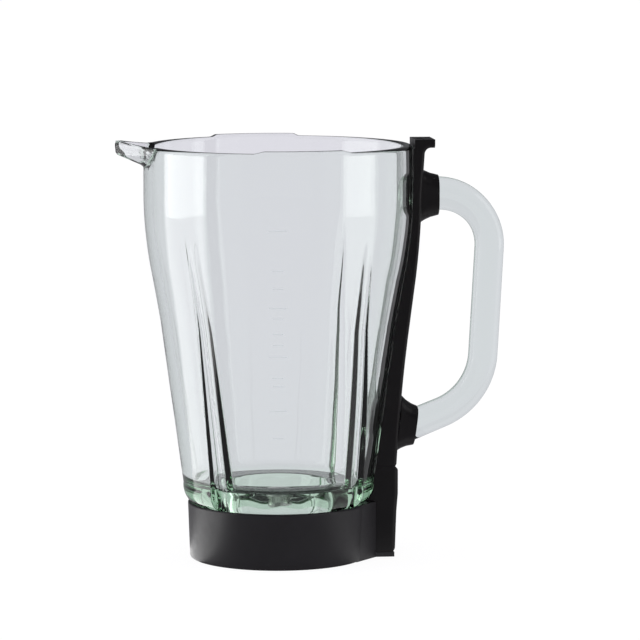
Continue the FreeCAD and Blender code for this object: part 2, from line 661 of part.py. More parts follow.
def disc(valley, radius, extra, angle, end, side):
    """Outline a flute's round section from the distance and angle of its valley."""
    reach = f"({radius} + {extra})"
    across = f"({end}) * ({valley} + {radius}) * cos({angle})"
    along = f"({side}) * ({valley} + {radius}) * sin({angle})"
    return [(f"{across} + {reach}", along, reach, "left"),
            (f"{across} - {reach} / 2", f"{along} + {reach} * sqrt(3) / 2", reach, "left"),
            (f"{across} - {reach} / 2", f"{along} - {reach} * sqrt(3) / 2", reach, "left")]


def flute(end, side, extra, name):
    """Loft the tool that presses one flute, grown by an extra radius.

    The end is 1 for a flute beside the handle and -1 for one beside the spout,
    and the side is 1 or -1 across the jug.
    """
    angle = "handle_flute" if end > 0 else "spout_flute"
    return lofted(name, "XY_Plane", [
        (disc(FLUTE_BOTTOM, "flute_round", extra, f"{angle}_low", end, side), "flute_bottom"),
        (disc(FLUTE_WAIST, "flute_waist_round", extra, f"{angle}_mid", end, side), "waist_height"),
        (disc(FLUTE_TOP, "flute_point", extra, f"{angle}_high", end, side), "flute_top")])


def spout_section(root, nose, spread, tip):
    """Outline a spout in plan: two sides that meet in a rounded nose."""
    return [
        (f"0 - ({root})", f"0 - ({spread})"),
        (f"0 - ({root})", spread),
        (f"0 - ({nose}) + ({tip}) * 0.6", tip, f"({tip}) * 1.15", "left"),
        (f"0 - ({nose}) + ({tip}) * 0.6", f"0 - ({tip})"),
    ]


def spout(wall, top, name):
    """Loft the spout from its root up to a height, thinner by a wall."""
    root = f"rim_radius - spout_sink - {wall}"
    return lofted(name, "XY_Plane", [
        (spout_section(root, f"rim_radius - spine_gap - {wall} * 1.5",
                       f"spout_nose * 1.5 - {wall} * 0.3", f"spout_nose * 0.8 - {wall} * 0.3"),
         f"spout_root + {wall}"),
        (spout_section(root, f"spout_reach - spout_chin_inset - {wall}",
                       f"spout_spread * 0.7 - {wall} * 0.8", f"spout_nose * 0.9 - {wall} * 0.3"),
         f"spout_top - spout_chin + {wall}"),
        (spout_section(root, f"spout_reach - {wall}",
                       f"spout_spread - {wall}", f"spout_nose - {wall} * 0.3"), top)])


UPPER_BEND_Z = "(grip_height - grip_upper_bend)"
GRIP_TOP_X = "(grip_bend_start + grip_upper_bend * cos(grip_lean))"
GRIP_TOP_Z = f"({UPPER_BEND_Z} - grip_upper_bend * sin(grip_lean))"
GRIP_LOW_X = f"({GRIP_TOP_X} - grip_length * sin(grip_lean))"
GRIP_LOW_Z = f"({GRIP_TOP_Z} - grip_length * cos(grip_lean))"
LOWER_BEND_X = f"({GRIP_LOW_X} - grip_lower_bend * cos(grip_lean))"
LOWER_BEND_Z = f"({GRIP_LOW_Z} + grip_lower_bend * sin(grip_lean))"
ROOT_X = f"({LOWER_BEND_X} + grip_lower_bend * sin(grip_root_slope))"
ROOT_Z = f"({LOWER_BEND_Z} - grip_lower_bend * cos(grip_root_slope))"


def grip_path():
    """List the handle's centre line from its upper root to its lower root."""
    return [
        ("grip_root_start", "grip_height"),
        ("grip_bend_start", "grip_height", "grip_upper_bend", "right"),
        (GRIP_TOP_X, GRIP_TOP_Z),
        (GRIP_LOW_X, GRIP_LOW_Z, "grip_lower_bend", "right"),
        (ROOT_X, ROOT_Z),
        (f"{ROOT_X} - grip_root_length * cos(grip_root_slope)",
         f"{ROOT_Z} - grip_root_length * sin(grip_root_slope)"),
    ]


def rounded_section(half_wide, half_tall, radius, middle="0"):
    """Outline a rectangle with rounded corners about a middle height."""
    wide, tall = f"({half_wide})", f"({half_tall})"
    bend = f"({radius})"
    corners = []
    for across, up in ((1, -1), (1, 1), (-1, 1), (-1, -1)):
        on_side = (f"({across}) * {wide}", f"{middle} + ({up}) * ({tall} - {bend})")
        on_end = (f"({across}) * ({wide} - {bend})", f"{middle} + ({up}) * {tall}")
        first, second = (on_end, on_side) if across * up < 0 else (on_side, on_end)
        corners += [(*first, bend, "left"), second]
    return corners


def grip(extra, name):
    """Sweep the handle's section along its path, grown by an extra all round."""
    body = new_body(name)
    path = sketch(body, "XZ_Plane", grip_path(), closed=False)
    section = sketch(body, "YZ_Plane",
                     rounded_section(f"grip_wide / 2 + {extra}", f"grip_thick / 2 + {extra}",
                                     f"grip_round + {extra}", "grip_height"),
                     lift="grip_root_start")
    feature = body.newObject("PartDesign::AdditivePipe", "Sweep")
    feature.Profile = section
    feature.Spine = (path, [f"Edge{number + 1}" for number in range(5)])
    return body


def make_glass():
    """Make the pressed glass: body, spout, flutes, rim lugs and handle."""
    slope = padded("SpoutSlope", "XZ_Plane", [
        ("0 - spout_reach - overrun", "spout_top"),
        ("0 - spout_reach + spout_nose", "spout_top"),
        ("0 - rim_radius + spout_sink", "rim_height - rim_round"),
        ("0 - rim_radius + spout_sink", "spout_top + overrun"),
        ("0 - spout_reach - overrun", "spout_top + overrun"),
    ], "2 * rim_radius")
    beak = cut(spout("0", "spout_top", "SpoutOutside"), slope, name="Beak")
    outside = join(turned("JugBody", jug_outline("0")), beak,
                   ring("NeckBead", "neck_radius - overrun", "bead_radius",
                        "neck_bottom", "neck_bottom + bead_height"),
                   grip("0", "Grip"), *rim_lugs(), name="JugOutside")
    room = cut(turned("JugRoom", cavity_outline()),
               *[flute(end, side, "rib_wall", "RibTool") for end, side in FLUTE_PLACES])
    channel = spout("spout_wall", "spout_top + overrun", "SpoutChannel")
    flutes = [flute(end, side, "0", "FluteTool") for end, side in FLUTE_PLACES]
    glass = cut(outside, room, channel, *flutes, name="Glass")
    return node("glass_jug", glass)


def rim_lugs():
    """Make the two raised lugs that stand on the rim, front and back."""
    lug_ring = ring("RimLugRing", "rim_radius - glass_wall + rim_lip",
                    "rim_radius - rim_round / 2",
                    "rim_height - rim_round", "rim_height + rim_lug_rise")
    lugs = []
    for side in (-1, 1):
        window = padded("LugWindow", "XY_Plane", [
            ("0 - rim_lug_width / 2", "0"),
            ("rim_lug_width / 2", "0"),
            ("rim_lug_width / 2", f"({side}) * (rim_radius + overrun)"),
            ("0 - rim_lug_width / 2", f"({side}) * (rim_radius + overrun)"),
        ], "2 * (rim_height + rim_lug_rise + overrun)")
        place(window, axis=(0, 0, 1), angle="rim_lug_turn")
        lugs.append(overlap(lug_ring, window, name="RimLug"))
    return lugs


# ----------------------------------------------------------------- spine

def middle_of(outer, glass):
    """Halfway between the spine's outer face and the glass."""
    return f"({outer} + {glass} + spine_gap) / 2"


STRIP_STATIONS = [
    (middle_of("spine_foot_reach", "foot_radius + 1"), "heel_top"),
    (middle_of("spine_waist_reach", "waist_radius"), "waist_height"),
    (middle_of("spine_shoulder_reach", "shoulder_radius"), "shoulder_height"),
    (middle_of("spine_upright_reach", "rim_radius"), "upright_height"),
]
STRIP_TOP_X = middle_of("spine_top_reach", "rim_radius")
BUTTON_X = f"{STRIP_TOP_X} + button_offset"
BUTTON_BOTTOM = "(tab_top - button_sink - button_height)"


def strip_outline(half, bottom, top):
    """Outline the push strip from the side, with half its thickness given."""
    low, waist, shoulder, upright = STRIP_STATIONS
    outer = [
        (f"pin_place + {half}", bottom),
        (f"{low[0]} + {half}", low[1]),
        (f"{waist[0]} + {half}", waist[1]),
        (f"{shoulder[0]} + {half}", shoulder[1], f"strip_bend + {half}", "left"),
        (f"{upright[0]} + {half}", upright[1]),
        (f"{STRIP_TOP_X} + {half}", top),
    ]
    inner = [
        (f"{STRIP_TOP_X} - {half}", top),
        (f"{upright[0]} - {half}", upright[1], f"strip_bend - {half}", "right"),
        (f"{shoulder[0]} - {half}", shoulder[1]),
        (f"{waist[0]} - {half}", waist[1]),
        (f"{low[0]} - {half}", low[1]),
        (f"pin_place - {half}", bottom),
    ]
    return outer + inner


def strip(extra, bottom, top, name):
    """Pad the push strip between two heights, grown by an extra all round."""
    return place(padded(name, "XZ_Plane",
                        strip_outline(f"(strip_thick / 2 + {extra})", bottom, top),
                        f"strip_width + 2 * {extra}"), "0", "0 - strip_place")


def spine_outline():
    """Outline the spine from the side; its inner edge lies within the glass."""
    return [
        ("foot_radius - glass_wall", "heel_top + seam"),
        ("spine_foot_reach", "heel_top + seam", "spine_low_bend", "right"),
        ("spine_waist_reach", "waist_height"),
        ("spine_shoulder_reach", "shoulder_height", "spine_high_bend", "left"),
        ("spine_upright_reach", "upright_height"),
        ("spine_top_reach", "tab_top - tab_thick - tab_fillet", "tab_fillet", "right"),
        ("spine_top_reach + tab_fillet", "tab_top - tab_thick"),
        ("tab_reach", "tab_top - tab_thick"),
        ("tab_reach", "tab_top"),
        ("tab_inner", "tab_top"),
        ("tab_inner", "rim_height - rim_round"),
        ("rim_radius - rim_round", "rim_height - rim_round"),
        ("rim_radius - rim_round", "upright_height"),
    ]


def ferrule(base, end, length, name):
    """Loft a ferrule along +X from its base to its end, centred on its axis."""
    across = "(grip_wide / 2 + ferrule_gap + ferrule_bulge)"
    sections = []
    for along, fall in FERRULE_FLARE:
        half_tall = f"({base} + ({end} - {base}) * {fall})"
        half_wide = f"({across} - ferrule_taper * {fall})"
        sections.append((rounded_section(half_wide, half_tall, f"{across} * 0.8"),
                         f"({length}) * {along}"))
    return lofted(name, "YZ_Plane", sections)


def make_spine():
    """Make the spine's two halves, its ferrules, and what lies inside them."""
    spine = padded("SpineBlank", "XZ_Plane", spine_outline(), "spine_width")
    low, high = value("heel_top") + 1, value("tab_top - tab_thick - tab_fillet") - 1
    half, inner = value("spine_width") / 2, value("foot_radius")
    rounded(spine, "spine_round",
            lambda spot: abs(abs(spot.y) - half) < 0.01 and spot.x > inner
            and low - 2 < spot.z < high + 2)
    upper = place(ferrule("upper_ferrule_base", "upper_ferrule_end",
                          "upper_ferrule_reach - upper_ferrule_start", "UpperFerrule"),
                  "upper_ferrule_start", "0", "grip_height - upper_ferrule_drop")
    lower = place(ferrule("lower_ferrule_base", "lower_ferrule_end",
                          "lower_ferrule_length", "LowerFerrule"),
                  LOWER_FERRULE_X, "0", LOWER_FERRULE_Z,
                  axis=(0, 1, 0), angle="lower_ferrule_tilt")
    glass_room = turned("GlassRoom", jug_outline("spine_gap"))
    bore = grip("ferrule_gap", "HandleRoom")
    channel = strip("strip_gap", "heel_top - overrun", f"{BUTTON_BOTTOM} - rod_travel",
                    "StripChannel")
    pocket = box(f"{BUTTON_X} - button_thick / 2 - button_gap",
                 "0 - button_place - button_width / 2 - button_gap",
                 f"{BUTTON_BOTTOM} - rod_travel - button_gap",
                 "button_thick + 2 * button_gap", "button_width + 2 * button_gap",
                 "button_height + rod_travel + overrun", "ButtonPocket")
    pads = make_pads()
    screw_rooms = [spine_screw(place_x, place_z, "screw_gap", "ScrewRoom")
                   for place_x, place_z in SPINE_SCREWS]
    whole = cut(join(spine, upper, lower, name="SpineSolid"),
                glass_room, bore, channel, pocket, *pads, *screw_rooms, name="SpineWhole")
    reach = "(tab_reach + spine_width)"
    near = box("0", "0 - seam / 2 - " + reach, "0", reach, reach, "tab_top + overrun", "NearSide")
    far = box("0", "seam / 2", "0", reach, reach, "tab_top + overrun", "FarSide")
    node("spine_near_cover", overlap(whole, near))
    node("spine_far_cover", overlap(whole, far))
    node("spine_screws", group(*[spine_screw(place_x, place_z, "0", "SpineScrew")
                                 for place_x, place_z in SPINE_SCREWS]))


LOWER_FERRULE_X = f"({ROOT_X} - lower_ferrule_back)"
LOWER_FERRULE_Z = f"({ROOT_Z} - lower_ferrule_back * tan(grip_root_slope) + lower_ferrule_lift)"
SPINE_SCREWS = [
    ("tab_reach - tab_screw_inset", "tab_top - tab_thick / 2"),
    ("spine_foot_reach - foot_spine_screw_inset", "foot_spine_screw_height"),
]


def spine_screw(place_x, place_z, extra, name):
    """Place a screw that is driven into the spine from its far side."""
    item = screw(f"spine_screw_radius + {extra}", f"spine_screw_head + {extra}",
                 "spine_screw_head_thick" if extra == "0" else "spine_screw_head_thick + overrun",
                 f"spine_screw_length + {extra}", name)
    return place(item, place_x, "spine_width / 2 - spine_screw_sink - spine_screw_head_thick",
                 place_z, axis=(1, 0, 0), angle="90")


def make_pads():
    """Make the pads between spine and glass, and return the room they need."""
    pads, rooms = [], []
    layer = cut(turned("PadOutside", jug_outline("spine_gap + pad_thick")),
                turned("PadInside", jug_outline("pad_gap")))
    layer_room = turned("PadRoom", jug_outline("spine_gap + pad_thick + pad_gap"))
    for height in ("lower_pad_height", "upper_pad_height"):
        window = box("0", "0 - pad_width / 2", height, "rim_radius", "pad_width",
                     "pad_height", "PadWindow")
        room = box("0", "0 - pad_width / 2 - pad_gap", f"{height} - pad_gap", "rim_radius",
                   "pad_width + 2 * pad_gap", "pad_height + 2 * pad_gap", "PadRoomWindow")
        pads.append(overlap(layer, window, name="Pad"))
        rooms.append(overlap(layer_room, room, name="PadPocket"))
    node("spine_pads", group(*pads))
    return rooms


def make_bushes():
    """Make the slit bushes between the ferrules and the handle's roots."""
    sleeve = cut(grip("ferrule_gap - bush_gap", "BushOutside"),
                 grip("bush_gap", "BushInside"), name="BushSleeve")
    slit = box("0", "0 - spine_gap", "grip_height", "tab_reach + overrun",
               "2 * spine_gap", "grip_thick", "UpperSlit")
    upper = box("upper_ferrule_reach - bush_length - 1", "0 - grip_wide", "grip_height - grip_thick",
                "bush_length", "2 * grip_wide", "2 * grip_thick", "UpperWindow")
    node("upper_handle_bush", cut(overlap(sleeve, upper), slit))
    low_x = f"{LOWER_FERRULE_X} + lower_ferrule_length - bush_length - 2 * bush_inset"
    lower = box(low_x, "0 - grip_wide", f"{LOWER_FERRULE_Z} - 2 * grip_thick",
                "bush_length", "2 * grip_wide", "4 * grip_thick", "LowerWindow")
    low_slit = box("0", "0 - spine_gap", LOWER_FERRULE_Z, "tab_reach",
                   "2 * spine_gap", "2 * grip_thick", "LowerSlit")
    node("lower_handle_bush", cut(overlap(sleeve, lower), low_slit))


def make_heel():
    """Make the heel that closes the spine's foot and holds the spring."""
    heel = padded("HeelBlank", "XZ_Plane", [
        ("bridge_reach + seam", "heel_bottom"),
        ("heel_low_reach", "heel_bottom"),
        ("heel_mid_reach", "heel_mid_height"),
        ("heel_reach", "heel_step_height"),
        ("heel_reach", "heel_top"),
        ("neck_radius", "heel_top"),
        ("neck_radius", "collar_height + seam"),
        ("bridge_reach + seam", "collar_height + seam"),
    ], "spine_width")
    half, inner = value("spine_width") / 2, value("bridge_reach") + 1
    rounded(heel, "heel_round_edge",
            lambda spot: abs(abs(spot.y) - half) < 0.01 and spot.x > inner)
    guide = rod("pin_radius + pin_gap", "0", "heel_top", "pin_place", "0 - pin_side", "PinGuide")
    well = rod("pin_head_radius + well_gap", "spring_seat", "heel_top", "pin_place",
               "0 - pin_side", "SpringWell")
    channel = strip("strip_gap", "strip_bottom - rod_travel", BUTTON_BOTTOM, "HeelChannel")
    holes = [foot_screw(offset, "screw_gap", "FootScrewRoom") for offset in FOOT_SCREWS]
    node("spine_heel", cut(heel, turned("HeelGlassRoom", jug_outline("spine_gap")),
                           guide, well, channel, *holes))
    node("foot_screws", group(*[foot_screw(offset, "0", "FootScrew")
                                for offset in FOOT_SCREWS]))


FOOT_SCREWS = ("foot_screw_inner", "foot_screw_outer")


def foot_screw(offset, extra, name):
    """Place a screw that is driven up through the tongue into the heel."""
    item = screw(f"foot_screw_radius + {extra}", f"foot_screw_head + {extra}",
                 "foot_screw_head_thick" if extra == "0" else "foot_screw_head_thick + overrun",
                 f"foot_screw_length + {extra}", name)
    return place(item, "pin_place", offset, "foot_screw_sink + foot_screw_head_thick")


# ---------------------------------------------------------------- collar

def bridge_section(radius):
    """Outline the bridge in plan: its sides run on from the collar without a corner."""
    along, across = "bridge_reach", "(spine_width / 2)"
    square = f"({along}^2 + {across}^2)"
    run = f"({radius} * sqrt({square} - {radius}^2))"
    touch_x = f"({radius}^2 * {along} - {run} * {across}) / {square}"
    touch_y = f"({radius}^2 * {across} + {run} * {along}) / {square}"
    return [("0", f"0 - ({touch_y})"), (touch_x, f"0 - ({touch_y})"),
            (along, f"0 - {across}"), (along, across), (touch_x, touch_y), ("0", touch_y)]


def make_collar():
    """Make the collar with its bridge and tongue, and the rings inside it."""
    shell = turned("CollarShell", [
        ("socket_radius", "0"),
        ("collar_base_radius - collar_base_round", "0", "collar_base_round", "left"),
        ("collar_base_radius", "collar_base_round"),
        ("collar_top_radius", "collar_height - collar_edge_round", "collar_edge_round", "left"),
        ("collar_top_radius - collar_edge_round", "collar_height"),
        ("collar_lip_radius", "collar_height"),
        ("collar_lip_radius", "flange_top"),
        ("flange_radius", "flange_top"),
        ("flange_radius", "flange_bottom"),
        ("collar_inner_radius", "flange_bottom"),
        ("collar_inner_radius", "socket_depth"),
        ("socket_radius", "socket_depth"),
    ])
    room = rod("collar_lip_radius", "0 - overrun", "collar_height + 2 * overrun", name="CollarRoom")
    bridge = cut(lofted("BridgeBlock", "XY_Plane", [
        (bridge_section("(collar_base_radius - collar_base_round / 2)"), "0"),
        (bridge_section("(collar_top_radius - collar_edge_round / 2)"), "collar_height")]), room)
    tongue = cut(box("0", "0 - spine_width / 2", "0", "tongue_reach", "spine_width",
                     "tongue_thick", "TongueBlock"), room)
    pin_hole = rod("pin_radius + pin_gap", "0 - overrun", "tongue_thick + 2 * overrun",
                   "pin_place", "0 - pin_side", "PinHole")
    rooms = [foot_screw(offset, "screw_gap", "TongueScrewRoom") for offset in FOOT_SCREWS]
    screw_rooms = around(lambda angle: collar_screw(angle, "screw_gap", "FlangeHole"),
                         COLLAR_SCREW_COUNT, 30)
    node("collar_shell", cut(join(shell, bridge, tongue, name="CollarSolid"),
                             pin_hole, *rooms, *screw_rooms))
    node("neck_gasket", ring("Gasket", "gasket_inner", "gasket_outer",
                             "flange_top + stack_gap", "seat_height - stack_gap"))
    clamp = ring("ClampRing", "neck_radius + neck_gap", "clamp_outer",
                 "flange_bottom - stack_gap - clamp_thick", "flange_bottom - stack_gap")
    slit = radial_box(180, "0", "clamp_outer + overrun", "clamp_slit",
                      "neck_bottom", "collar_height", "ClampSlit")
    clamp_holes = around(lambda angle: collar_screw(angle, "screw_gap", "ClampHole"),
                         COLLAR_SCREW_COUNT, 30)
    node("neck_clamp", cut(clamp, slit, *clamp_holes))
    make_bayonet()
    node("collar_screws", group(*around(
        lambda angle: collar_screw(angle, "0", "CollarScrew"), COLLAR_SCREW_COUNT, 30)))


BAYONET_TOP = "(flange_bottom - 2 * stack_gap - clamp_thick)"


def make_bayonet():
    """Make the ring whose ledges hold the blade carrier's lugs."""
    wall = turned("BayonetWall", [
        ("ledge_inner", "bayonet_bottom"),
        ("clamp_outer", "bayonet_bottom"),
        ("clamp_outer", BAYONET_TOP),
        ("bayonet_inner", BAYONET_TOP),
        ("bayonet_inner", "bayonet_bottom + ledge_thick"),
        ("ledge_inner", "bayonet_bottom + ledge_thick"),
    ])
    openings = around(lambda angle: radial_box(
        angle, "0", "bayonet_inner", "ledge_opening", "bayonet_bottom - overrun",
        "bayonet_bottom + ledge_thick + overrun", "LedgeOpening"), LEDGE_COUNT, CARRIER_TURN)
    holes = around(lambda angle: collar_screw(angle, "screw_gap", "BayonetHole"),
                   COLLAR_SCREW_COUNT, 30)
    node("bayonet_ring", cut(wall, *openings, *holes))


def collar_screw(angle, extra, name):
    """Place a screw that clamps the rings up against the collar's flange."""
    item = screw(f"collar_screw_radius + {extra}", f"collar_screw_head + {extra}",
                 "collar_screw_head_thick",
                 "flange_bottom + collar_screw_bite - bayonet_bottom - collar_screw_head_thick"
                 f" + {extra}", name)
    return place(item, f"collar_screw_circle * cos({angle})",
                 f"collar_screw_circle * sin({angle})",
                 "bayonet_bottom + collar_screw_head_thick")


# --------------------------------------------------------- blade carrier

def make_carrier():
    """Make the carrier, its seal and the bearing housing that it holds."""
    plate = turned("CarrierPlate", [
        ("tooth_reach + 1", "carrier_hub_bottom"),
        ("carrier_radius - 4", "carrier_hub_bottom"),
        ("carrier_radius", "carrier_bottom"),
        ("carrier_radius", "carrier_top"),
        ("carrier_dome_radius", "carrier_top"),
        ("carrier_dome_radius - 1", "carrier_dome_top - 2"),
        ("housing_radius + housing_gap + 3", "carrier_dome_top"),
        ("housing_radius + housing_gap", "carrier_dome_top"),
        ("housing_radius + housing_gap", "housing_bottom"),
        ("tooth_reach + 1", "housing_bottom"),
    ])
    lug_rooms = [rod("lug_reach", "0", "collar_height", name="LugReach")]
    lugs = around(lambda angle: overlap(radial_box(
        angle, "carrier_dome_radius", "lug_reach + overrun", "lug_width", "carrier_bottom",
        "carrier_bottom + lug_thick", "LugBlock"), *lug_rooms, name="Lug"), LEDGE_COUNT, 0)
    node("blade_carrier", join(plate, *lugs))
    node("carrier_seal", ring("CarrierSeal", "seal_inner", "seal_outer",
                              "carrier_top + stack_gap", "neck_bottom - seal_gap"))
    bore = "shaft_radius + running_gap + fit_gap * 2"
    node("bearing_housing", turned("BearingHousing", [
        ("bush_outer + fit_gap", "housing_bottom"),
        ("housing_radius", "housing_bottom"),
        ("housing_radius", "housing_top - 1"),
        ("housing_radius - 1", "housing_top"),
        (bore, "housing_top"),
        (bore, SEAL_TOP),
        ("bush_outer + fit_gap", SEAL_TOP),
        ("bush_outer + fit_gap", "upper_bush_bottom - stack_gap"),
        (bore, "upper_bush_bottom - stack_gap"),
        (bore, "lower_bush_bottom + lower_bush_length + stack_gap"),
        ("bush_outer + fit_gap", "lower_bush_bottom + lower_bush_length + stack_gap"),
    ]))
    for label, bottom, length in (("lower_bush", "lower_bush_bottom", "lower_bush_length"),
                                  ("upper_bush", "upper_bush_bottom", "upper_bush_length")):
        node(label, ring("Bush", "shaft_radius + running_gap", "bush_outer",
                         bottom, f"{bottom} + {length}"))
    node("shaft_seal", ring("ShaftSeal", "shaft_radius + running_gap", "bush_outer",
                            f"{SEAL_TOP} - stack_gap - shaft_seal_thick",
                            f"{SEAL_TOP} - stack_gap"))


SEAL_TOP = "(upper_bush_bottom + upper_bush_length + shaft_seal_thick + 2 * stack_gap)"
WASHER_BOTTOM = "(housing_top + seal_gap)"
LOWER_BLADE = f"({WASHER_BOTTOM} + washer_thick + stack_gap)"
SPACER_BOTTOM = f"({LOWER_BLADE} + blade_thick + stack_gap)"
UPPER_BLADE = f"({SPACER_BOTTOM} + spacer_thick + stack_gap)"
NUT_BOTTOM = f"({UPPER_BLADE} + blade_thick + stack_gap)"
ON_SHAFT = "shaft_radius + fit_gap"


def blade(height, bend, angle, name):
    """Make a two-armed blade whose tips bend by a height, turned by an angle."""
    side = padded(name + "Side", "XZ_Plane", [
        ("0 - blade_reach", f"{height} + {bend}"),
        ("0 - blade_hub", height),
        ("blade_hub", height),
        ("blade_reach", f"{height} + {bend}"),
        ("blade_reach", f"{height} + {bend} + blade_thick"),
        ("blade_hub", f"{height} + blade_thick"),
        ("0 - blade_hub", f"{height} + blade_thick"),
        ("0 - blade_reach", f"{height} + {bend} + blade_thick"),
    ], "blade_width + 2 * overrun")
    plan = new_body(name + "Plan")
    outline = sketch(plan, "XY_Plane", [
        ("0 - blade_reach", "0 - blade_tip_width / 2"),
        ("0 - blade_hub", "0 - blade_width / 2"),
        ("blade_hub", "0 - blade_width / 2"),
        ("blade_reach", "0 - blade_width / 2 + blade_tip_width / 2"),
        ("blade_reach", "blade_tip_width / 2"),
        ("blade_hub", "blade_width / 2"),
        ("0 - blade_hub", "blade_width / 2"),
        ("0 - blade_reach", "blade_width / 2 - blade_tip_width / 2"),
    ], lift="housing_bottom")
    pad = plan.newObject("PartDesign::Pad", "Pad")
    pad.Profile = outline
    bind(pad, Length="floor_height")
    hole = rod(ON_SHAFT, "housing_bottom", "floor_height", name="BladeHole")
    shape = cut(overlap(side, plan), hole)
    shape.Placement = Placement(Vector(), Rotation(Vector(0, 0, 1), angle))
    return shape


def make_cutter():
    """Make the shaft, the blades on it and the coupling that drives it."""
    node("blade_shaft", turned("Shaft", [
        ("0", "shaft_bottom"),
        ("shaft_radius - 0.4", "shaft_bottom"),
        ("shaft_radius", "shaft_bottom + 0.4"),
        ("shaft_radius", "shaft_top"),
        ("0", "shaft_top"),
    ]))
    node("thrust_washer", ring("ThrustWasher", ON_SHAFT, "washer_radius", WASHER_BOTTOM,
                               f"{WASHER_BOTTOM} + washer_thick"))
    node("lower_blade", blade(LOWER_BLADE, "(0 - lower_blade_drop)", 0, "LowerBlade"))
    node("blade_spacer", ring("BladeSpacer", ON_SHAFT, "spacer_radius", SPACER_BOTTOM,
                              f"{SPACER_BOTTOM} + spacer_thick"))
    node("upper_blade", blade(UPPER_BLADE, "upper_blade_rise", 90, "UpperBlade"))
    node("cap_nut", turned("CapNut", [
        (ON_SHAFT, NUT_BOTTOM),
        ("nut_radius", NUT_BOTTOM),
        ("nut_radius", f"{NUT_BOTTOM} + nut_height - 2"),
        ("nut_radius - 2", f"{NUT_BOTTOM} + nut_height"),
        ("0", f"{NUT_BOTTOM} + nut_height"),
        ("0", "shaft_top + stack_gap"),
        (ON_SHAFT, "shaft_top + stack_gap"),
    ]))
    disc = ring("CouplingDisc", ON_SHAFT, "coupling_radius", "coupling_bottom",
                "coupling_bottom + coupling_thick")
    teeth = around(lambda angle: radial_box(
        angle, "coupling_radius - 2", "tooth_reach", "tooth_width", "coupling_bottom",
        "coupling_bottom + coupling_thick - 0.5", "Tooth"), TOOTH_COUNT)
    node("drive_coupling", join(disc, *teeth))
    clip_bottom = "(coupling_bottom + coupling_thick + stack_gap)"
    node("coupling_clip", ring("CouplingClip", ON_SHAFT, "clip_radius", clip_bottom,
                               f"{clip_bottom} + clip_thick"))


# ------------------------------------------------------------- interlock

def make_interlock():
    """Make the button, the strip, the pin and the spring that lifts them."""
    node("interlock_button", box(f"{BUTTON_X} - button_thick / 2",
                                 "0 - button_place - button_width / 2", BUTTON_BOTTOM,
                                 "button_thick", "button_width", "button_height"))
    node("push_strip", strip("0", "strip_bottom", BUTTON_BOTTOM, "PushStrip"))
    head_bottom = "(strip_bottom - pin_head_thick)"
    node("interlock_pin", place(turned("InterlockPin", [
        ("0", "pin_bottom"),
        ("pin_radius - 0.6", "pin_bottom"),
        ("pin_radius", "pin_bottom + 0.6"),
        ("pin_radius", head_bottom),
        ("pin_head_radius", head_bottom),
        ("pin_head_radius", "strip_bottom"),
        ("0", "strip_bottom"),
    ]), "pin_place", "0 - pin_side"))
    spring = new_body("Spring")
    wire = spring.newObject("Sketcher::SketchObject", "Wire")
    plane = next(item for item in spring.Origin.OriginFeatures if item.Role == "XZ_Plane")
    wire.AttachmentSupport = (plane, [""])
    wire.MapMode = "FlatFace"
    middle = Vector(value("spring_radius"), value("spring_wire"), 0)
    wire.addGeometry(Part.Circle(middle, Vector(0, 0, 1), value("spring_wire")))
    fix(wire, Sketcher.Constraint("DistanceX", 0, 3, middle.x), "spring_radius")
    fix(wire, Sketcher.Constraint("DistanceY", 0, 3, middle.y), "spring_wire")
    fix(wire, Sketcher.Constraint("Radius", 0, value("spring_wire")), "spring_wire")
    coil = spring.newObject("PartDesign::AdditiveHelix", "Coil")
    coil.Profile = wire
    coil.ReferenceAxis = (wire, ["V_Axis"])
    coil.Mode = "height-turns-angle"
    free = f"({head_bottom} - spring_seat - 2 * spring_wire - 2 * stack_gap)"
    bind(coil, Height=free, Turns="spring_turns")
    node("interlock_spring", place(spring, "pin_place", "0 - pin_side", "spring_seat + stack_gap"))


# ------------------------------------------------------- build and export

def check():
    """Stop if any object failed or any sub-part has no sound shape."""
    document.recompute()
    for item in document.Objects:
        if {"Invalid", "Error"} & set(item.State):
            raise RuntimeError(f"{item.Label} failed: {item.State}")
    for label, item in nodes.items():
        if item.Shape.isNull() or not item.Shape.isValid() or not item.Shape.Solids:
            raise RuntimeError(f"{label} has no sound shape")


def main():
    """Build every sub-part, check it and write it to parts/."""
    make_glass()
    make_spine()
    make_bushes()
    make_heel()
    make_collar()
    make_carrier()
    make_cutter()
    make_interlock()
    check()
    os.makedirs("parts", exist_ok=True)
    for label, item in nodes.items():
        item.Shape.exportStep(f"parts/{label}.step")
        print(f"{label}: {len(item.Shape.Solids)} solid(s), {item.Shape.Volume:.0f} mm3")


main()
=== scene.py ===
"""Looks of a blender jug: pressed glass, black mouldings and the steel of its blade carrier."""
import logging
import math
from dataclasses import dataclass, field
from enum import Enum

import bpy
import numpy as np
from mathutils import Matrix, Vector


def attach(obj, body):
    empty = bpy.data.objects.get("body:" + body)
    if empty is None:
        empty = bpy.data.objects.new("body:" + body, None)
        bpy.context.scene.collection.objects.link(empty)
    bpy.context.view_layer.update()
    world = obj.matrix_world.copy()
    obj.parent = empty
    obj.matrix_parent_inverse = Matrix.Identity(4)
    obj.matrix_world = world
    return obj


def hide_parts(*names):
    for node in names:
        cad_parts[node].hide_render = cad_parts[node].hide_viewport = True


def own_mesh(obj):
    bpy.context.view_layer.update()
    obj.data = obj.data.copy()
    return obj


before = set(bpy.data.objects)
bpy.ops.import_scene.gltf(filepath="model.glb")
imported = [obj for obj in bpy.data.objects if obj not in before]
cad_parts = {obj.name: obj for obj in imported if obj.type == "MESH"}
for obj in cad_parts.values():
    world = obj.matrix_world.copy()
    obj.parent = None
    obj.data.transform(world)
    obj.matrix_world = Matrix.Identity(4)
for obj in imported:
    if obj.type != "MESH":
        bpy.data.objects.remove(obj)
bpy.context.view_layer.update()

MM = 0.001
LOG = logging.getLogger("blender_jug")

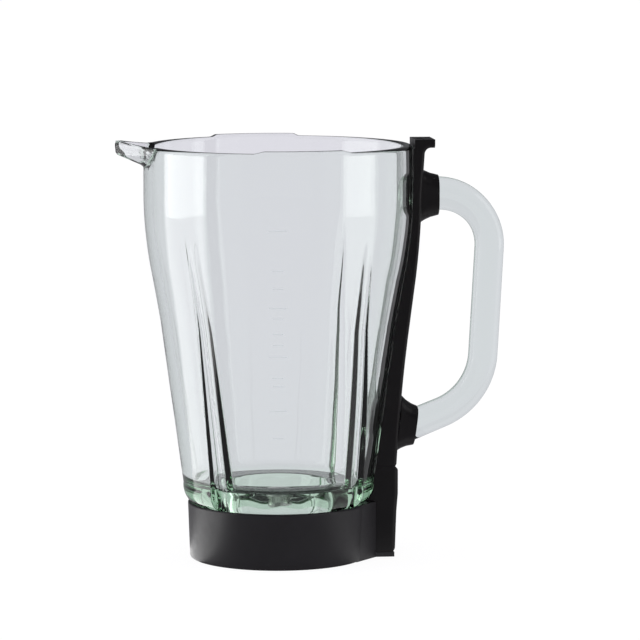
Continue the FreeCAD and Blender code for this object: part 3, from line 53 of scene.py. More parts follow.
Colour = tuple[float, float, float]
Point = tuple[float, float]
Points = list[Point]
WHITE: Colour = (1.0, 1.0, 1.0)


# ------------------------------------------------------------------ shaders


class Board:
    """A material's node tree, with short ways to add nodes and join them."""

    def __init__(self, name: str) -> None:
        """Make a material with an empty tree.

        Args:
            name: name of the material.
        """
        self.material = bpy.data.materials.new(name)
        self.material.use_nodes = True
        self.tree = self.material.node_tree
        self.tree.nodes.clear()
        self.out = self.add("ShaderNodeOutputMaterial")

    def add(self, kind: str, **values: object) -> bpy.types.Node:
        """Add a node and set its sockets or properties.

        Args:
            kind: Blender's name of the node type.
            values: for each socket or property its value, or the socket that gives it;
                underscores stand for spaces.

        Returns:
            The new node.
        """
        node = self.tree.nodes.new(kind)
        for key, setting in values.items():
            socket = node.inputs.get(key.replace("_", " "))
            if isinstance(setting, bpy.types.NodeSocket):
                self.join(setting, socket)
            elif socket is not None:
                socket.default_value = setting
            else:
                setattr(node, key, setting)
        return node

    def join(self, source: bpy.types.NodeSocket, target: bpy.types.NodeSocket) -> None:
        """Link one socket to another."""
        self.tree.links.new(source, target)

    def place(self) -> bpy.types.NodeSocket:
        """Return the piece's own coordinates, in metres."""
        return self.add("ShaderNodeTexCoord").outputs["Object"]

    def grain(self, scale: float, detail: float = 2.0, rough: float = 0.5) -> bpy.types.NodeSocket:
        """Add a noise over the piece.

        Args:
            scale: waves of noise to a metre.
            detail: how many finer waves lie on the first.
            rough: how strong the finer waves are.

        Returns:
            The noise's value, from 0 to 1.
        """
        noise = self.add("ShaderNodeTexNoise", Vector=self.place(), Scale=scale, Detail=detail,
                         Roughness=rough)
        return noise.outputs["Fac"]

    def spread(self, source: bpy.types.NodeSocket, low: float, high: float,
               start: float = 0.3, end: float = 0.7) -> bpy.types.NodeSocket:
        """Map a noise to a range.

        Args:
            source: the noise.
            low: result where the noise is at its start.
            high: result where the noise is at its end.
            start: noise value that gives low.
            end: noise value that gives high.

        Returns:
            The mapped value.
        """
        ramp = self.add("ShaderNodeMapRange", Value=source, From_Min=start, From_Max=end,
                        To_Min=low, To_Max=high)
        return ramp.outputs["Result"]

    def tint(self, source: bpy.types.NodeSocket, dark: Colour, light: Colour) -> bpy.types.NodeSocket:
        """Blend between two colours by a value from 0 to 1.

        Args:
            source: the value.
            dark: colour at 0.
            light: colour at 1.

        Returns:
            The blended colour.
        """
        ramp = self.add("ShaderNodeValToRGB", Fac=source)
        ramp.color_ramp.elements[0].color = (*dark, 1.0)
        ramp.color_ramp.elements[1].color = (*light, 1.0)
        return ramp.outputs["Color"]

    def relief(self, source: bpy.types.NodeSocket, depth: float,
               strength: float = 1.0) -> bpy.types.NodeSocket:
        """Turn a value into a fine relief.

        Args:
            source: the height, from 0 to 1.
            depth: full depth in metres.
            strength: share of the relief that shows.

        Returns:
            The normal.
        """
        bump = self.add("ShaderNodeBump", Height=source, Strength=strength, Distance=depth)
        return bump.outputs["Normal"]

    def surface(self, shader: bpy.types.Node) -> bpy.types.Material:
        """Put a shader on the surface and return the material."""
        self.join(shader.outputs[0], self.out.inputs["Surface"])
        return self.material


def blend(tree: bpy.types.NodeTree, share: bpy.types.NodeSocket, first: bpy.types.NodeSocket | Colour,
          second: bpy.types.NodeSocket | Colour) -> bpy.types.NodeSocket:
    """Mix two colours.

    Args:
        tree: the node tree to add to.
        share: how much of the second colour shows.
        first: a colour, or the socket that gives it.
        second: the other colour.

    Returns:
        The mixed colour.
    """
    mix = tree.nodes.new("ShaderNodeMix")
    mix.data_type = "RGBA"
    tree.links.new(share, mix.inputs["Factor"])
    for name, colour in (("A", first), ("B", second)):
        if isinstance(colour, tuple):
            mix.inputs[name].default_value = (*colour, 1.0)
        else:
            tree.links.new(colour, mix.inputs[name])
    return mix.outputs["Result"]


@dataclass(frozen=True)
class PressedGlass:
    """Clear pressed glass, faintly green where it is thick."""

    name: str = "clear_pressed_glass"
    bend: float = 1.52
    green: Colour = (0.38, 0.72, 0.44)
    depth_of_green: float = 20.0
    roughness: float = 0.0

    def build(self) -> bpy.types.Material:
        """Make the glass, with its colour in the volume.

        Returns:
            The material.
        """
        board = Board(self.name)
        shader = board.add("ShaderNodeBsdfPrincipled", Base_Color=(*WHITE, 1.0),
                           Roughness=self.roughness, IOR=self.bend, Transmission_Weight=1.0)
        volume = board.add("ShaderNodeVolumeAbsorption", Color=(*self.green, 1.0),
                           Density=self.depth_of_green)
        board.join(volume.outputs[0], board.out.inputs["Volume"])
        return board.surface(shader)


@dataclass(frozen=True)
class FrostedGlass:
    """Glass with a matt surface, as a mould leaves it on fine raised lines."""

    name: str = "frosted_scale_glass"
    colour: Colour = (0.93, 0.95, 0.95)
    bend: float = 1.06
    smoothest: float = 0.35
    roughest: float = 0.55

    def build(self) -> bpy.types.Material:
        """Make the frosted glass with a faint grain.

        Returns:
            The material.
        """
        board = Board(self.name)
        shader = board.add("ShaderNodeBsdfPrincipled", Base_Color=(*self.colour, 1.0), IOR=self.bend,
                           Transmission_Weight=1.0,
                           Roughness=board.spread(board.grain(900.0), self.smoothest, self.roughest))
        return board.surface(shader)


@dataclass(frozen=True)
class MouldedPlastic:
    """Satin plastic with the fine spark-eroded grain of its mould."""

    name: str
    dark: Colour
    light: Colour
    smoothest: float
    roughest: float
    grain: float = 3200.0
    grain_depth: float = 0.00002
    shine: float = 0.42

    def build(self) -> bpy.types.Material:
        """Make the plastic: mottled colour, uneven gloss and a fine grain.

        Returns:
            The material.
        """
        board = Board(self.name)
        cloud, handled = board.grain(60.0, 3.0), board.grain(220.0, 4.0, 0.6)
        fine = board.grain(self.grain, 1.0)
        shader = board.add("ShaderNodeBsdfPrincipled", IOR=1.5, Specular_IOR_Level=self.shine,
                           Base_Color=board.tint(board.spread(cloud, 0.0, 1.0), self.dark, self.light),
                           Roughness=board.spread(handled, self.smoothest, self.roughest),
                           Normal=board.relief(fine, self.grain_depth, 0.6))
        return board.surface(shader)


@dataclass(frozen=True)
class GroundSteel:
    """Stainless steel, with the fine marks of grinding or drawing along one axis."""

    name: str
    colour: Colour
    roughness: float
    marks: tuple[float, float, float] = (90.0, 2600.0, 2600.0)
    mark_depth: float = 0.000012

    def build(self) -> bpy.types.Material:
        """Make the steel with stretched marks in its gloss and relief.

        Returns:
            The material.
        """
        board = Board(self.name)
        stretch = board.add("ShaderNodeMapping", Vector=board.place(), Scale=self.marks)
        noise = board.add("ShaderNodeTexNoise", Vector=stretch.outputs["Vector"], Scale=1.0,
                          Detail=3.0, Roughness=0.6)
        lines = noise.outputs["Fac"]
        darker = tuple(0.86 * part for part in self.colour)
        shader = board.add("ShaderNodeBsdfPrincipled", Metallic=1.0,
                           Base_Color=board.tint(board.spread(lines, 0.0, 1.0), darker, self.colour),
                           Roughness=board.spread(lines, self.roughness - 0.05, self.roughness + 0.1),
                           Normal=board.relief(lines, self.mark_depth, 0.5))
        return board.surface(shader)


@dataclass(frozen=True)
class SinteredBronze:
    """Porous, oil-filled bronze."""

    name: str = "sintered_bronze"
    dark: Colour = (0.20, 0.12, 0.05)
    light: Colour = (0.48, 0.31, 0.15)

    def build(self) -> bpy.types.Material:
        """Make the bronze with its open pores.

        Returns:
            The material.
        """
        board = Board(self.name)
        pores = board.grain(4200.0, 3.0, 0.7)
        open_pores = board.spread(pores, 0.0, 1.0, 0.35, 0.55)
        shader = board.add("ShaderNodeBsdfPrincipled", Metallic=1.0,
                           Base_Color=board.tint(open_pores, self.dark, self.light),
                           Roughness=board.spread(pores, 0.55, 0.38),
                           Normal=board.relief(pores, 0.00003))
        return board.surface(shader)


@dataclass(frozen=True)
class SoftSeal:
    """Soft elastomer with a dusty, slightly uneven skin."""

    name: str = "soft_seal"
    dark: Colour = (0.045, 0.045, 0.048)
    light: Colour = (0.075, 0.075, 0.08)

    def build(self) -> bpy.types.Material:
        """Make the elastomer.

        Returns:
            The material.
        """
        board = Board(self.name)
        bloom = board.grain(400.0, 4.0, 0.6)
        shader = board.add("ShaderNodeBsdfPrincipled", IOR=1.45, Sheen_Weight=0.15,
                           Base_Color=board.tint(board.spread(bloom, 0.0, 1.0), self.dark, self.light),
                           Roughness=board.spread(bloom, 0.6, 0.75),
                           Normal=board.relief(board.grain(2400.0), 0.00002))
        return board.surface(shader)


# ------------------------------------------------------------------- meshes


class Side(Enum):
    """On which side of the way from one point to the next an arc's middle lies."""

    LEFT = 1
    RIGHT = -1


Leg = tuple[Point, int] | tuple[Point, int, float, Side]


def straight(start: Point, end: Point, count: int) -> Points:
    """List points along a line, without its last one.

    Args:
        start: first point.
        end: point it leads to.
        count: number of steps.

    Returns:
        The points.
    """
    return [(start[0] + (end[0] - start[0]) * step / count,
             start[1] + (end[1] - start[1]) * step / count) for step in range(count)]


def arc(start: Point, end: Point, count: int, radius: float, side: Side) -> Points:
    """List points along an arc, without its last one.

    Args:
        start: first point.
        end: point it leads to.
        count: number of steps.
        radius: radius of the arc.
        side: where its middle lies, seen from start to end.

    Returns:
        The points.
    """
    first, last = Vector(start), Vector(end)
    chord = last - first
    normal = Vector((-chord.y, chord.x)).normalized() * side.value
    middle = (first + last) / 2 + normal * math.sqrt(max(radius ** 2 - chord.length_squared / 4, 0.0))
    begin = math.atan2(first.y - middle.y, first.x - middle.x)
    turn = math.atan2(last.y - middle.y, last.x - middle.x) - begin
    turn = (turn + math.pi) % (2 * math.pi) - math.pi
    return [(middle.x + radius * math.cos(begin + turn * step / count),
             middle.y + radius * math.sin(begin + turn * step / count)) for step in range(count)]


def trace(start: Point, legs: list[Leg]) -> Points:
    """List points along straight and round legs, without the last leg's end.

    Args:
        start: first point.
        legs: the end and number of steps of each, with a round one's radius and side.

    Returns:
        The points.
    """
    points = []
    for end, *rest in legs:
        points += straight(start, end, *rest) if len(rest) == 1 else arc(start, end, *rest)
        start = end
    return points


def soft_least(a: np.ndarray, b: np.ndarray, room: float) -> np.ndarray:
    """Take the smaller of two surfaces, with a rounded edge where they meet.

    Args:
        a: one surface's distances.
        b: the other's.
        room: size of the rounding.

    Returns:
        The joined distances.
    """
    share = np.maximum(room - np.abs(a - b), 0.0) / room
    return np.minimum(a, b) - share * share * room / 4


def soft_most(a: np.ndarray, b: np.ndarray, room: float) -> np.ndarray:
    """Take the larger of two surfaces, with a rounded edge where they meet."""
    return -soft_least(-a, -b, room)


def smooth_step(value: np.ndarray, start: float, end: float) -> np.ndarray:
    """Rise smoothly from 0 at start to 1 at end."""
    share = np.clip((value - start) / (end - start), 0.0, 1.0)
    return share * share * (3 - 2 * share)


def mesh_piece(name: str, points: np.ndarray, faces: list[tuple[int, ...]],
               material: bpy.types.Material) -> bpy.types.Object:
    """Make a smooth-shaded piece from points in millimetres.

    Args:
        name: name of the piece.
        points: one row for each point.
        faces: point numbers of each face.
        material: its finish.

    Returns:
        The piece, in the scene.
    """
    mesh = bpy.data.meshes.new(name)
    mesh.from_pydata((points * MM).tolist(), [], faces)
    mesh.validate()
    mesh.polygons.foreach_set("use_smooth", [True] * len(mesh.polygons))
    mesh.materials.append(material)
    piece = bpy.data.objects.new(name, mesh)
    bpy.context.scene.collection.objects.link(piece)
    return piece


def grid_faces(rows: int, columns: int, closed_rows: bool) -> list[tuple[int, ...]]:
    """List the four-sided faces of a grid whose columns run round in a ring.

    Args:
        rows: number of rings.
        columns: points in each ring.
        closed_rows: whether the last ring joins the first.

    Returns:
        The faces.
    """
    faces = []
    for row in range(rows if closed_rows else rows - 1):
        low, high = row * columns, ((row + 1) % rows) * columns
        for column in range(columns):
            after = (column + 1) % columns
            faces.append((low + column, low + after, high + after, high + column))
    return faces


# --------------------------------------------------------------- glass jug


@dataclass(frozen=True)
class Skin:
    """The jug's surface as plainly turned: angles in radians, sizes in millimetres.

    Each row is one point of the turned line, and outside tells which rows are on the outer face.
    """

    angle: np.ndarray
    distance: np.ndarray
    height: np.ndarray
    outside: np.ndarray


@dataclass
class GlassJug:
    """The pressed-glass jug: wall, flutes, spout, rim lugs and handle in one piece.

    Sizes are in millimetres and angles in degrees. Sizes across are distances from the axis,
    and heights start at the plane that the collar stands on.
    """

    finish: PressedGlass = field(default_factory=PressedGlass)
    neck: float = 34.5
    neck_bottom: float = 20.45
    neck_round: float = 0.8
    bead: float = 36.2
    bead_height: float = 1.8
    bead_round: float = 0.6
    bead_slope: float = 0.4
    seat: float = 45.8
    seat_height: float = 29.35
    heel_round: float = 12.0
    foot: float = 52.3
    foot_height: float = 41.45
    waist: float = 64.4
    waist_height: float = 130.45
    shoulder: float = 68.7
    shoulder_height: float = 154.95
    rim: float = 73.4
    upright_height: float = 200.45
    rim_height: float = 226.95
    rim_round: float = 2.0
    lip: float = 1.4
    wall: float = 5.0
    floor_height: float = 41.45
    floor_round: float = 6.0
    well: float = 28.0
    well_edge: float = 1.2
    lug_half: float = 21.0
    lug_end: float = 3.0
    lug_turn: float = 6.0
    lug_rise: float = 1.3
    lug_root: float = 5.0
    flute_heights: tuple[float, ...] = (20.0, 30.45, 130.45, 168.45, 240.0)
    flute_valleys: tuple[float, ...] = (44.3, 46.02, 63.1, 71.05, 86.1)
    flute_rounds: tuple[float, ...] = (5.9, 5.6, 2.3, 0.5, 0.5)
    handle_flute: tuple[float, ...] = (37.4, 38.5, 49.0, 51.2, 51.2)
    spout_flute: tuple[float, ...] = (46.5, 46.4, 45.0, 43.8, 43.8)
    flute_edge: float = 0.5
    rib_wall: float = 4.5
    rib_edge: float = 2.4
    spout_reach: float = 89.4
    spout_root: float = 215.35
    spout_lift: float = 2.5
    spout_chin: float = 4.5
    spout_spread: float = 26.0
    spout_nose: float = 4.0
    spout_wall: float = 3.2
    spout_edge: float = 2.0
    channel_edge: float = 2.5
    skin_inset: float = 0.04
    skin_wave: float = 0.02
    well_wave: float = 0.22
    columns: int = 448

    @property
    def shoulder_bend(self) -> float:
        """Radius of the arc that turns the shoulder upright on the outside."""
        out, up = self.rim - self.shoulder, self.upright_height - self.shoulder_height
        return (out ** 2 + up ** 2) / (2 * out)

    def outer_line(self) -> Points:
        """Trace the outside from the neck's lower end to the top of the rim.

        Returns:
            Points of distance and height.
        """
        bottom, bead_round, neck_round = self.neck_bottom, self.bead_round, self.neck_round
        bead_top = bottom + self.bead_height
        return trace((self.well + neck_round, bottom), [
            ((self.bead - bead_round, bottom), 4),
            ((self.bead, bottom + bead_round), 3, bead_round, Side.LEFT),
            ((self.bead, bead_top - bead_round), 2),
            ((self.bead - bead_round, bead_top), 3, bead_round, Side.LEFT),
            ((self.neck, bead_top + self.bead_slope), 2),
            ((self.neck, self.seat_height - neck_round), 5),
            ((self.neck + neck_round, self.seat_height), 4, neck_round, Side.RIGHT),
            ((self.seat, self.seat_height), 8),
            ((self.foot, self.foot_height), 18, self.heel_round, Side.LEFT),
            ((self.waist, self.waist_height), 46),
            ((self.shoulder, self.shoulder_height), 18),
            ((self.rim, self.upright_height), 24, self.shoulder_bend, Side.LEFT),
            ((self.rim, self.rim_height - self.rim_round), 26),
            ((self.rim - self.rim_round, self.rim_height), 8, self.rim_round, Side.LEFT),
        ])

    def inner_line(self) -> Points:
        """Trace the inside from the top of the rim to the lower end of the blades' well.

        Returns:
            Points of distance and height.
        """
        inside, corner, floor = self.rim - self.wall, self.foot - self.wall, self.floor_height
        bottom, neck_round = self.neck_bottom, self.neck_round
        return trace((self.rim - self.rim_round, self.rim_height), [
            ((inside + self.lip, self.rim_height), 3),
            ((inside, self.rim_height - self.lip), 6, self.lip, Side.LEFT),
            ((inside, self.upright_height), 26),
            ((self.shoulder - self.wall, self.shoulder_height), 20, self.shoulder_bend - self.wall,
             Side.RIGHT),
            ((self.waist - self.wall, self.waist_height), 10),
            ((corner, floor + self.floor_round), 34),
            ((corner - self.floor_round, floor), 14, self.floor_round, Side.RIGHT),
            ((self.well + self.well_edge, floor), 6),
            ((self.well, floor - self.well_edge), 6, self.well_edge, Side.LEFT),
            ((self.well, bottom + neck_round), 10),
            ((self.well + neck_round, bottom), 4, neck_round, Side.LEFT),
        ])

    def angles(self) -> np.ndarray:
        """List the columns' angles, closest together at the flutes and the spout.

        Returns:
            Angles in radians.
        """
        fine = np.linspace(0.0, 360.0, 7201)
        weight = np.ones_like(fine)
        for flute in (45.0, 135.0, 225.0, 315.0):
            away = np.abs((fine - flute + 180) % 360 - 180)
            weight += 4.5 * np.exp(-((away / 13.0) ** 4))
        away = np.abs(fine - 180.0)
        weight += 3.0 * np.exp(-((away / 24.0) ** 4)) + 5.0 * np.exp(-((away / 6.0) ** 2))
        total = np.concatenate([[0.0], np.cumsum((weight[1:] + weight[:-1]) / 2)])
        wanted = np.arange(self.columns) / self.columns * total[-1]
        return np.radians(np.interp(wanted, total, fine))

    def groove(self, angle: np.ndarray, height: np.ndarray, extra: float) -> np.ndarray:
        """Work out how near the axis the flutes' round tools come.

        Args:
            angle: angles of the points, in radians.
            height: their heights.
            extra: how much larger than the tool the round is.

        Returns:
            The distance from the axis, very large where no tool reaches.
        """
        valley = np.interp(height, self.flute_heights, self.flute_valleys)
        radius = np.interp(height, self.flute_heights, self.flute_rounds)
        middle, reach = valley + radius, radius + extra
        distance = np.full(angle.shape, 999.0)
        for end, table in ((0.0, self.handle_flute), (math.pi, self.spout_flute)):
            at = np.radians(np.interp(height, self.flute_heights, table))
            for side in (1, -1):
                away = (angle - end - side * at + math.pi) % (2 * math.pi) - math.pi
                room = reach ** 2 - (middle * np.sin(away)) ** 2
                hit = (room > 0) & (np.abs(away) < math.pi / 2)
                near = middle * np.cos(away) - np.sqrt(np.maximum(room, 0.0))
                distance = np.where(hit, np.minimum(distance, near), distance)
        return distance

    def spout(self, angle: np.ndarray, height: np.ndarray, wall: float) -> np.ndarray:
        """Work out the spout's outline in plan at each height.

        The outline is two straight sides that leave the rim's circle and touch a round nose.

        Args:
            angle: angles of the points, in radians.
            height: their heights.
            wall: how far inside the outer face the outline lies.

        Returns:
            Its distance from the axis, or 0 where the spout is absent.
        """
        low, chin = self.spout_root + wall, self.rim_height - self.spout_chin + wall * 0.7
        grown = np.clip((height - low) / (self.rim_height - self.spout_root), 0.0, 1.05)
        circle = self.rim - wall
        nose = self.spout_nose * 0.9 - wall * 0.25
        tip = np.interp(height, (low, chin, self.rim_height + 1.0),
                        (circle - 1.0, self.spout_reach - wall - 1.0, self.spout_reach - wall))
        half = np.maximum((self.spout_spread - wall * 0.6) * (0.25 + 0.75 * grown), nose + 0.5)
        side_x, side_y = np.sqrt(circle ** 2 - half ** 2), half
        away = np.abs(angle % (2 * math.pi) - math.pi)
        middle = tip - nose
        reach = np.hypot(side_x - middle, side_y)
        aim = np.arctan2(side_y, side_x - middle) - np.arccos(np.clip(nose / reach, -1.0, 1.0))
        touch_x, touch_y = middle + nose * np.cos(aim), nose * np.sin(aim)
        cross = touch_x * side_y - side_x * touch_y
        facing = np.cos(away) * (side_y - touch_y) - np.sin(away) * (side_x - touch_x)
        line = cross / np.maximum(facing, 1e-6)
        cap = middle * np.cos(away) + np.sqrt(np.maximum(nose ** 2 - (middle * np.sin(away)) ** 2, 0.0))
        found = np.where(away < np.arctan2(touch_y, touch_x), cap, line)
        found = np.where(away < np.arctan2(side_y, side_x), found, 0.0)
        return np.where(grown > 0, found, 0.0)

    def fluted(self, skin: Skin) -> np.ndarray:
        """Press the flutes into the wall, with the ribs that they raise inside.

        Args:
            skin: the jug as plainly turned.

        Returns:
            The points' distances from the axis.
        """
        distance, height = skin.distance, skin.height
        grooved = soft_least(distance, self.groove(skin.angle, height, 0.0), self.flute_edge)
        ribbed = soft_least(distance, self.groove(skin.angle, height, self.rib_wall), self.rib_edge)
        above_neck = (height > self.seat_height - 0.01) & (distance > self.seat - 0.5)
        reach = np.where(skin.outside & above_neck, grooved, distance)
        return np.where(~skin.outside & (height > self.floor_height + 0.3), ribbed, reach)

    def drawn_out(self, skin: Skin, reach: np.ndarray) -> np.ndarray:
        """Draw the wall out into the spout and its channel.

        Args:
            skin: the jug as plainly turned.
            reach: the points' distances so far.

        Returns:
            Their new distances.
        """
        beak = self.spout(skin.angle, skin.height, 0.0) - (self.rim - skin.distance)
        channel = (self.spout(skin.angle, skin.height, self.spout_wall)
                   + (skin.distance - (self.rim - self.wall)))
        reach = np.where(skin.outside, soft_most(reach, beak, self.spout_edge), reach)
        return np.where(~skin.outside & (skin.height > self.upright_height),
                        soft_most(reach, channel, self.channel_edge), reach)

    def raised(self, skin: Skin, reach: np.ndarray) -> np.ndarray:
        """Work out how far the rim rises at its two lugs and at the spout's tip.

        Args:
            skin: the jug as plainly turned.
            reach: the points' distances from the axis.

        Returns:
            The rise of each point.
        """
        turned = np.degrees(skin.angle) - self.lug_turn
        lug = sum(1 - smooth_step(np.abs((turned - at + 180) % 360 - 180),
                                  self.lug_half - self.lug_end, self.lug_half) for at in (90.0, 270.0))
        near_rim = smooth_step(skin.height, self.rim_height - self.lug_root, self.rim_height)
        beak = self.spout_reach - self.rim - self.spout_nose
        tip = self.spout_lift * np.clip((reach - self.rim) / beak, 0.0, 1.0)
        return near_rim * (self.lug_rise * lug + tip)

    def waves(self, skin: Skin) -> np.ndarray:
        """Work out the unevenness that pressing leaves in the wall and round the well.

        Args:
            skin: the jug as plainly turned.

        Returns:
            What to add to each point's distance.
        """
        angle, height = skin.angle, skin.height
        well = self.well_wave * (np.sin(5 * angle + 1.0) + np.sin(11 * angle + height * 0.4))
        in_well = ~skin.outside & (skin.distance < self.well + 0.1)
        ripple = self.skin_wave * (np.sin(3 * angle + height * 0.11) + np.sin(7 * angle - height * 0.07)
                                   + 0.7 * np.sin(13 * angle + height * 0.19))
        on_wall = smooth_step(height, 45.0, 60.0) * (1 - smooth_step(height, 205.0, 220.0))
        return well * in_well * smooth_step(height, 23.0, 26.0) + ripple * on_wall - self.skin_inset

    def shell(self) -> bpy.types.Object:
        """Build the jug's body as one closed skin.

        Returns:
            The body without its handle.
        """
        outer, inner = self.outer_line(), self.inner_line()
        line = np.array(outer + inner)
        shape = (len(line), self.columns)
        distance, height = (np.broadcast_to(line[:, side, None], shape) for side in (0, 1))
        skin = Skin(np.broadcast_to(self.angles(), shape), distance, height,
                    (np.arange(len(line)) < len(outer))[:, None])
        reach = self.drawn_out(skin, self.fluted(skin))
        tall = height + self.raised(skin, reach)
        reach = reach + self.waves(skin)
        points = np.stack([reach * np.cos(skin.angle), reach * np.sin(skin.angle), tall], axis=2)
        faces = grid_faces(len(line), self.columns, closed_rows=True)
        return mesh_piece("pressed_glass_jug", points.reshape(-1, 3), faces, self.finish.build())

    def build(self) -> None:
        """Build the whole glass, handle and all, in place of its plain solid."""
        body = self.shell()
        handle = GlassHandle().build(body.data.materials[0])
        union = body.modifiers.new("handle", "BOOLEAN")
        union.operation = "UNION"
        union.solver = "MANIFOLD"
        union.object = handle
        graph = bpy.context.evaluated_depsgraph_get()
        joined = bpy.data.meshes.new_from_object(body.evaluated_get(graph))
        body.modifiers.clear()
        body.data = joined
        joined.polygons.foreach_set("use_smooth", [True] * len(joined.polygons))
        bpy.data.objects.remove(handle)
        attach(body, "jug")
        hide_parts("glass_jug")
        LOG.info("pressed glass: %d faces", len(joined.polygons))


@dataclass
class Walk:
    """A line traced by going straight on and round bends, in millimetres and radians."""

    x: float
    z: float
    heading: float = 0.0
    stations: list[tuple[float, float, float]] = field(default_factory=list)

    def __post_init__(self) -> None:
        """Start the line at the first place."""
        self.stations.append((self.x, self.z, self.heading))

    def step(self, length: float) -> None:
        """Move on by a length, the way the line heads now."""
        self.x += math.cos(self.heading) * length
        self.z += math.sin(self.heading) * length

    def run(self, length: float, count: int) -> None:
        """Go straight on.

        Args:
            length: how far.
            count: number of steps.
        """
        for _ in range(count):
            self.step(length / count)
            self.stations.append((self.x, self.z, self.heading))

    def bend(self, radius: float, turn: float, count: int) -> None:
        """Go round to the right.

        Args:
            radius: radius of the bend.
            turn: how far it turns, in radians.
            count: number of steps.
        """
        half = turn / count / 2
        for _ in range(count):
            self.heading -= half
            self.step(2 * radius * math.sin(half))
            self.heading -= half
            self.stations.append((self.x, self.z, self.heading))


@dataclass
class GlassHandle:
    """The jug's solid glass handle, thickest where it leaves the wall.

    Sizes are in millimetres and angles in degrees, as in the jug.
    """

    thick: float = 16.0
    wide: float = 13.6
    upper_root: float = 18.2
    lower_root: float = 16.6
    start: float = 70.5
    height: float = 199.6
    bend_start: float = 88.05
    upper_bend: float = 28.5
    lean: float = 3.1
    length: float = 58.9
    lower_bend: float = 37.2
    slope: float = 22.0
    root_length: float = 40.2
    wall_lean: float = 7.8
    sheared_end: float = 14.0
    upper_swell: tuple[float, float] = (16.0, 52.0)
    lower_swell: tuple[float, float] = (22.0, 60.0)
    roundness: float = 2.6
    section_points: int = 40

    def path(self) -> tuple[np.ndarray, np.ndarray, np.ndarray]:
        """Trace the handle's middle line.

        Returns:
            Points of distance and height, the way the line heads in radians, and
            how far along it each point lies.
        """
        walk = Walk(self.start, self.height)
        walk.run(self.bend_start - self.start, 12)
        walk.bend(self.upper_bend, math.radians(90 + self.lean), 40)
        walk.run(self.length, 30)
        walk.bend(self.lower_bend, math.radians(90 - self.lean - self.slope), 44)
        walk.run(self.root_length, 20)
        line = np.array(walk.stations)
        steps = np.hypot(np.diff(line[:, 0]), np.diff(line[:, 1]))
        return line[:, :2], line[:, 2], np.concatenate([[0.0], np.cumsum(steps)])

    def build(self, glass: bpy.types.Material) -> bpy.types.Object:
        """Sweep the handle's rounded section along its line.

        Args:
            glass: the jug's glass.

        Returns:
            The handle, to be joined to the jug.
        """
        line, heading, along = self.path()
        left = along[-1] - along
        sheared = 1 - smooth_step(left, 0.0, self.sheared_end)
        heading = heading - sheared * math.radians(self.slope + self.wall_lean)
        upper, lower = 1 - smooth_step(along, *self.upper_swell), 1 - smooth_step(left, *self.lower_swell)
        thick = (self.thick + (self.upper_root - self.thick) * upper
                 + (self.lower_root - self.thick) * lower)
        turn = np.linspace(0, 2 * math.pi, self.section_points, endpoint=False)
        power = 2 / self.roundness
        across = np.sign(np.cos(turn)) * np.abs(np.cos(turn)) ** power
        outwards = np.sign(np.sin(turn)) * np.abs(np.sin(turn)) ** power
        rings = []
        for (x, z), way, deep in zip(line, heading, thick):
            shift = outwards * deep / 2
            rings.append(np.stack([x - math.sin(way) * shift, across * self.wide / 2,
                                   z + math.cos(way) * shift], axis=1))
        points = np.vstack(rings)
        count = self.section_points
        faces = grid_faces(len(rings), count, closed_rows=False)
        faces.append(tuple(reversed(range(count))))
        faces.append(tuple(range(len(points) - count, len(points))))
        return mesh_piece("glass_handle", points, faces, glass)


@dataclass
class FillScale:
    """Fine raised lines of the fill scale on the jug's near side, in millimetres."""

    glass: GlassJug
    finish: FrostedGlass = field(default_factory=FrostedGlass)
    angle: float = 264.5
    clear: float = 0.03
    rise: float = 0.10
    thick: float = 0.6
    short: float = 6.5
    long: float = 10.5
    short_heights: tuple[float, ...] = (164.9, 155.3, 139.0, 130.5, 124.4, 106.5, 102.0, 73.4)
    long_heights: tuple[float, ...] = (186.4, 144.6, 118.2, 88.5)

    def line(self, height: float, length: float) -> np.ndarray:
        """Trace one raised line that follows the wall.

        Args:
            height: height of its middle.
            length: its length round the wall.

        Returns:
            Rings of points, one for each step along the line.
        """
        outer = np.array(self.glass.outer_line())
        outer = outer[outer[:, 1] > self.glass.foot_height]
        rings = []
        for step in np.linspace(-1.0, 1.0, 15):
            end = math.sqrt(max(1 - abs(step) ** 8, 0.02))
            ring = []
            for turn in np.linspace(0, math.pi, 7):
                z = height + math.cos(turn) * self.thick / 2 * end
                reach = float(np.interp(z, outer[:, 1], outer[:, 0]))
                around = math.radians(self.angle) + step * length / 2 / reach
                reach += self.clear + math.sin(turn) * self.rise * end
                ring.append((reach * math.cos(around), reach * math.sin(around), z))
            rings.append(ring)
        return np.array(rings)

    def build(self) -> None:
        """Make all the lines as one piece that rides on the jug."""
        points, faces = [], []
        marks = [(height, self.short) for height in self.short_heights]
        marks += [(height, self.long) for height in self.long_heights]
        for height, length in marks:
            rings = self.line(height, length)
            first, count = len(points), rings.shape[1]
            points.extend(rings.reshape(-1, 3))
            faces += [tuple(first + number for number in face)
                      for face in grid_faces(len(rings), count, closed_rows=False)]
            faces.append(tuple(first + number for number in reversed(range(count))))
            end = first + (len(rings) - 1) * count
            faces.append(tuple(range(end, end + count)))
        piece = mesh_piece("fill_scale", np.array(points), faces, self.finish.build())
        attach(piece, "jug")
        LOG.info("fill scale: %d lines", len(marks))


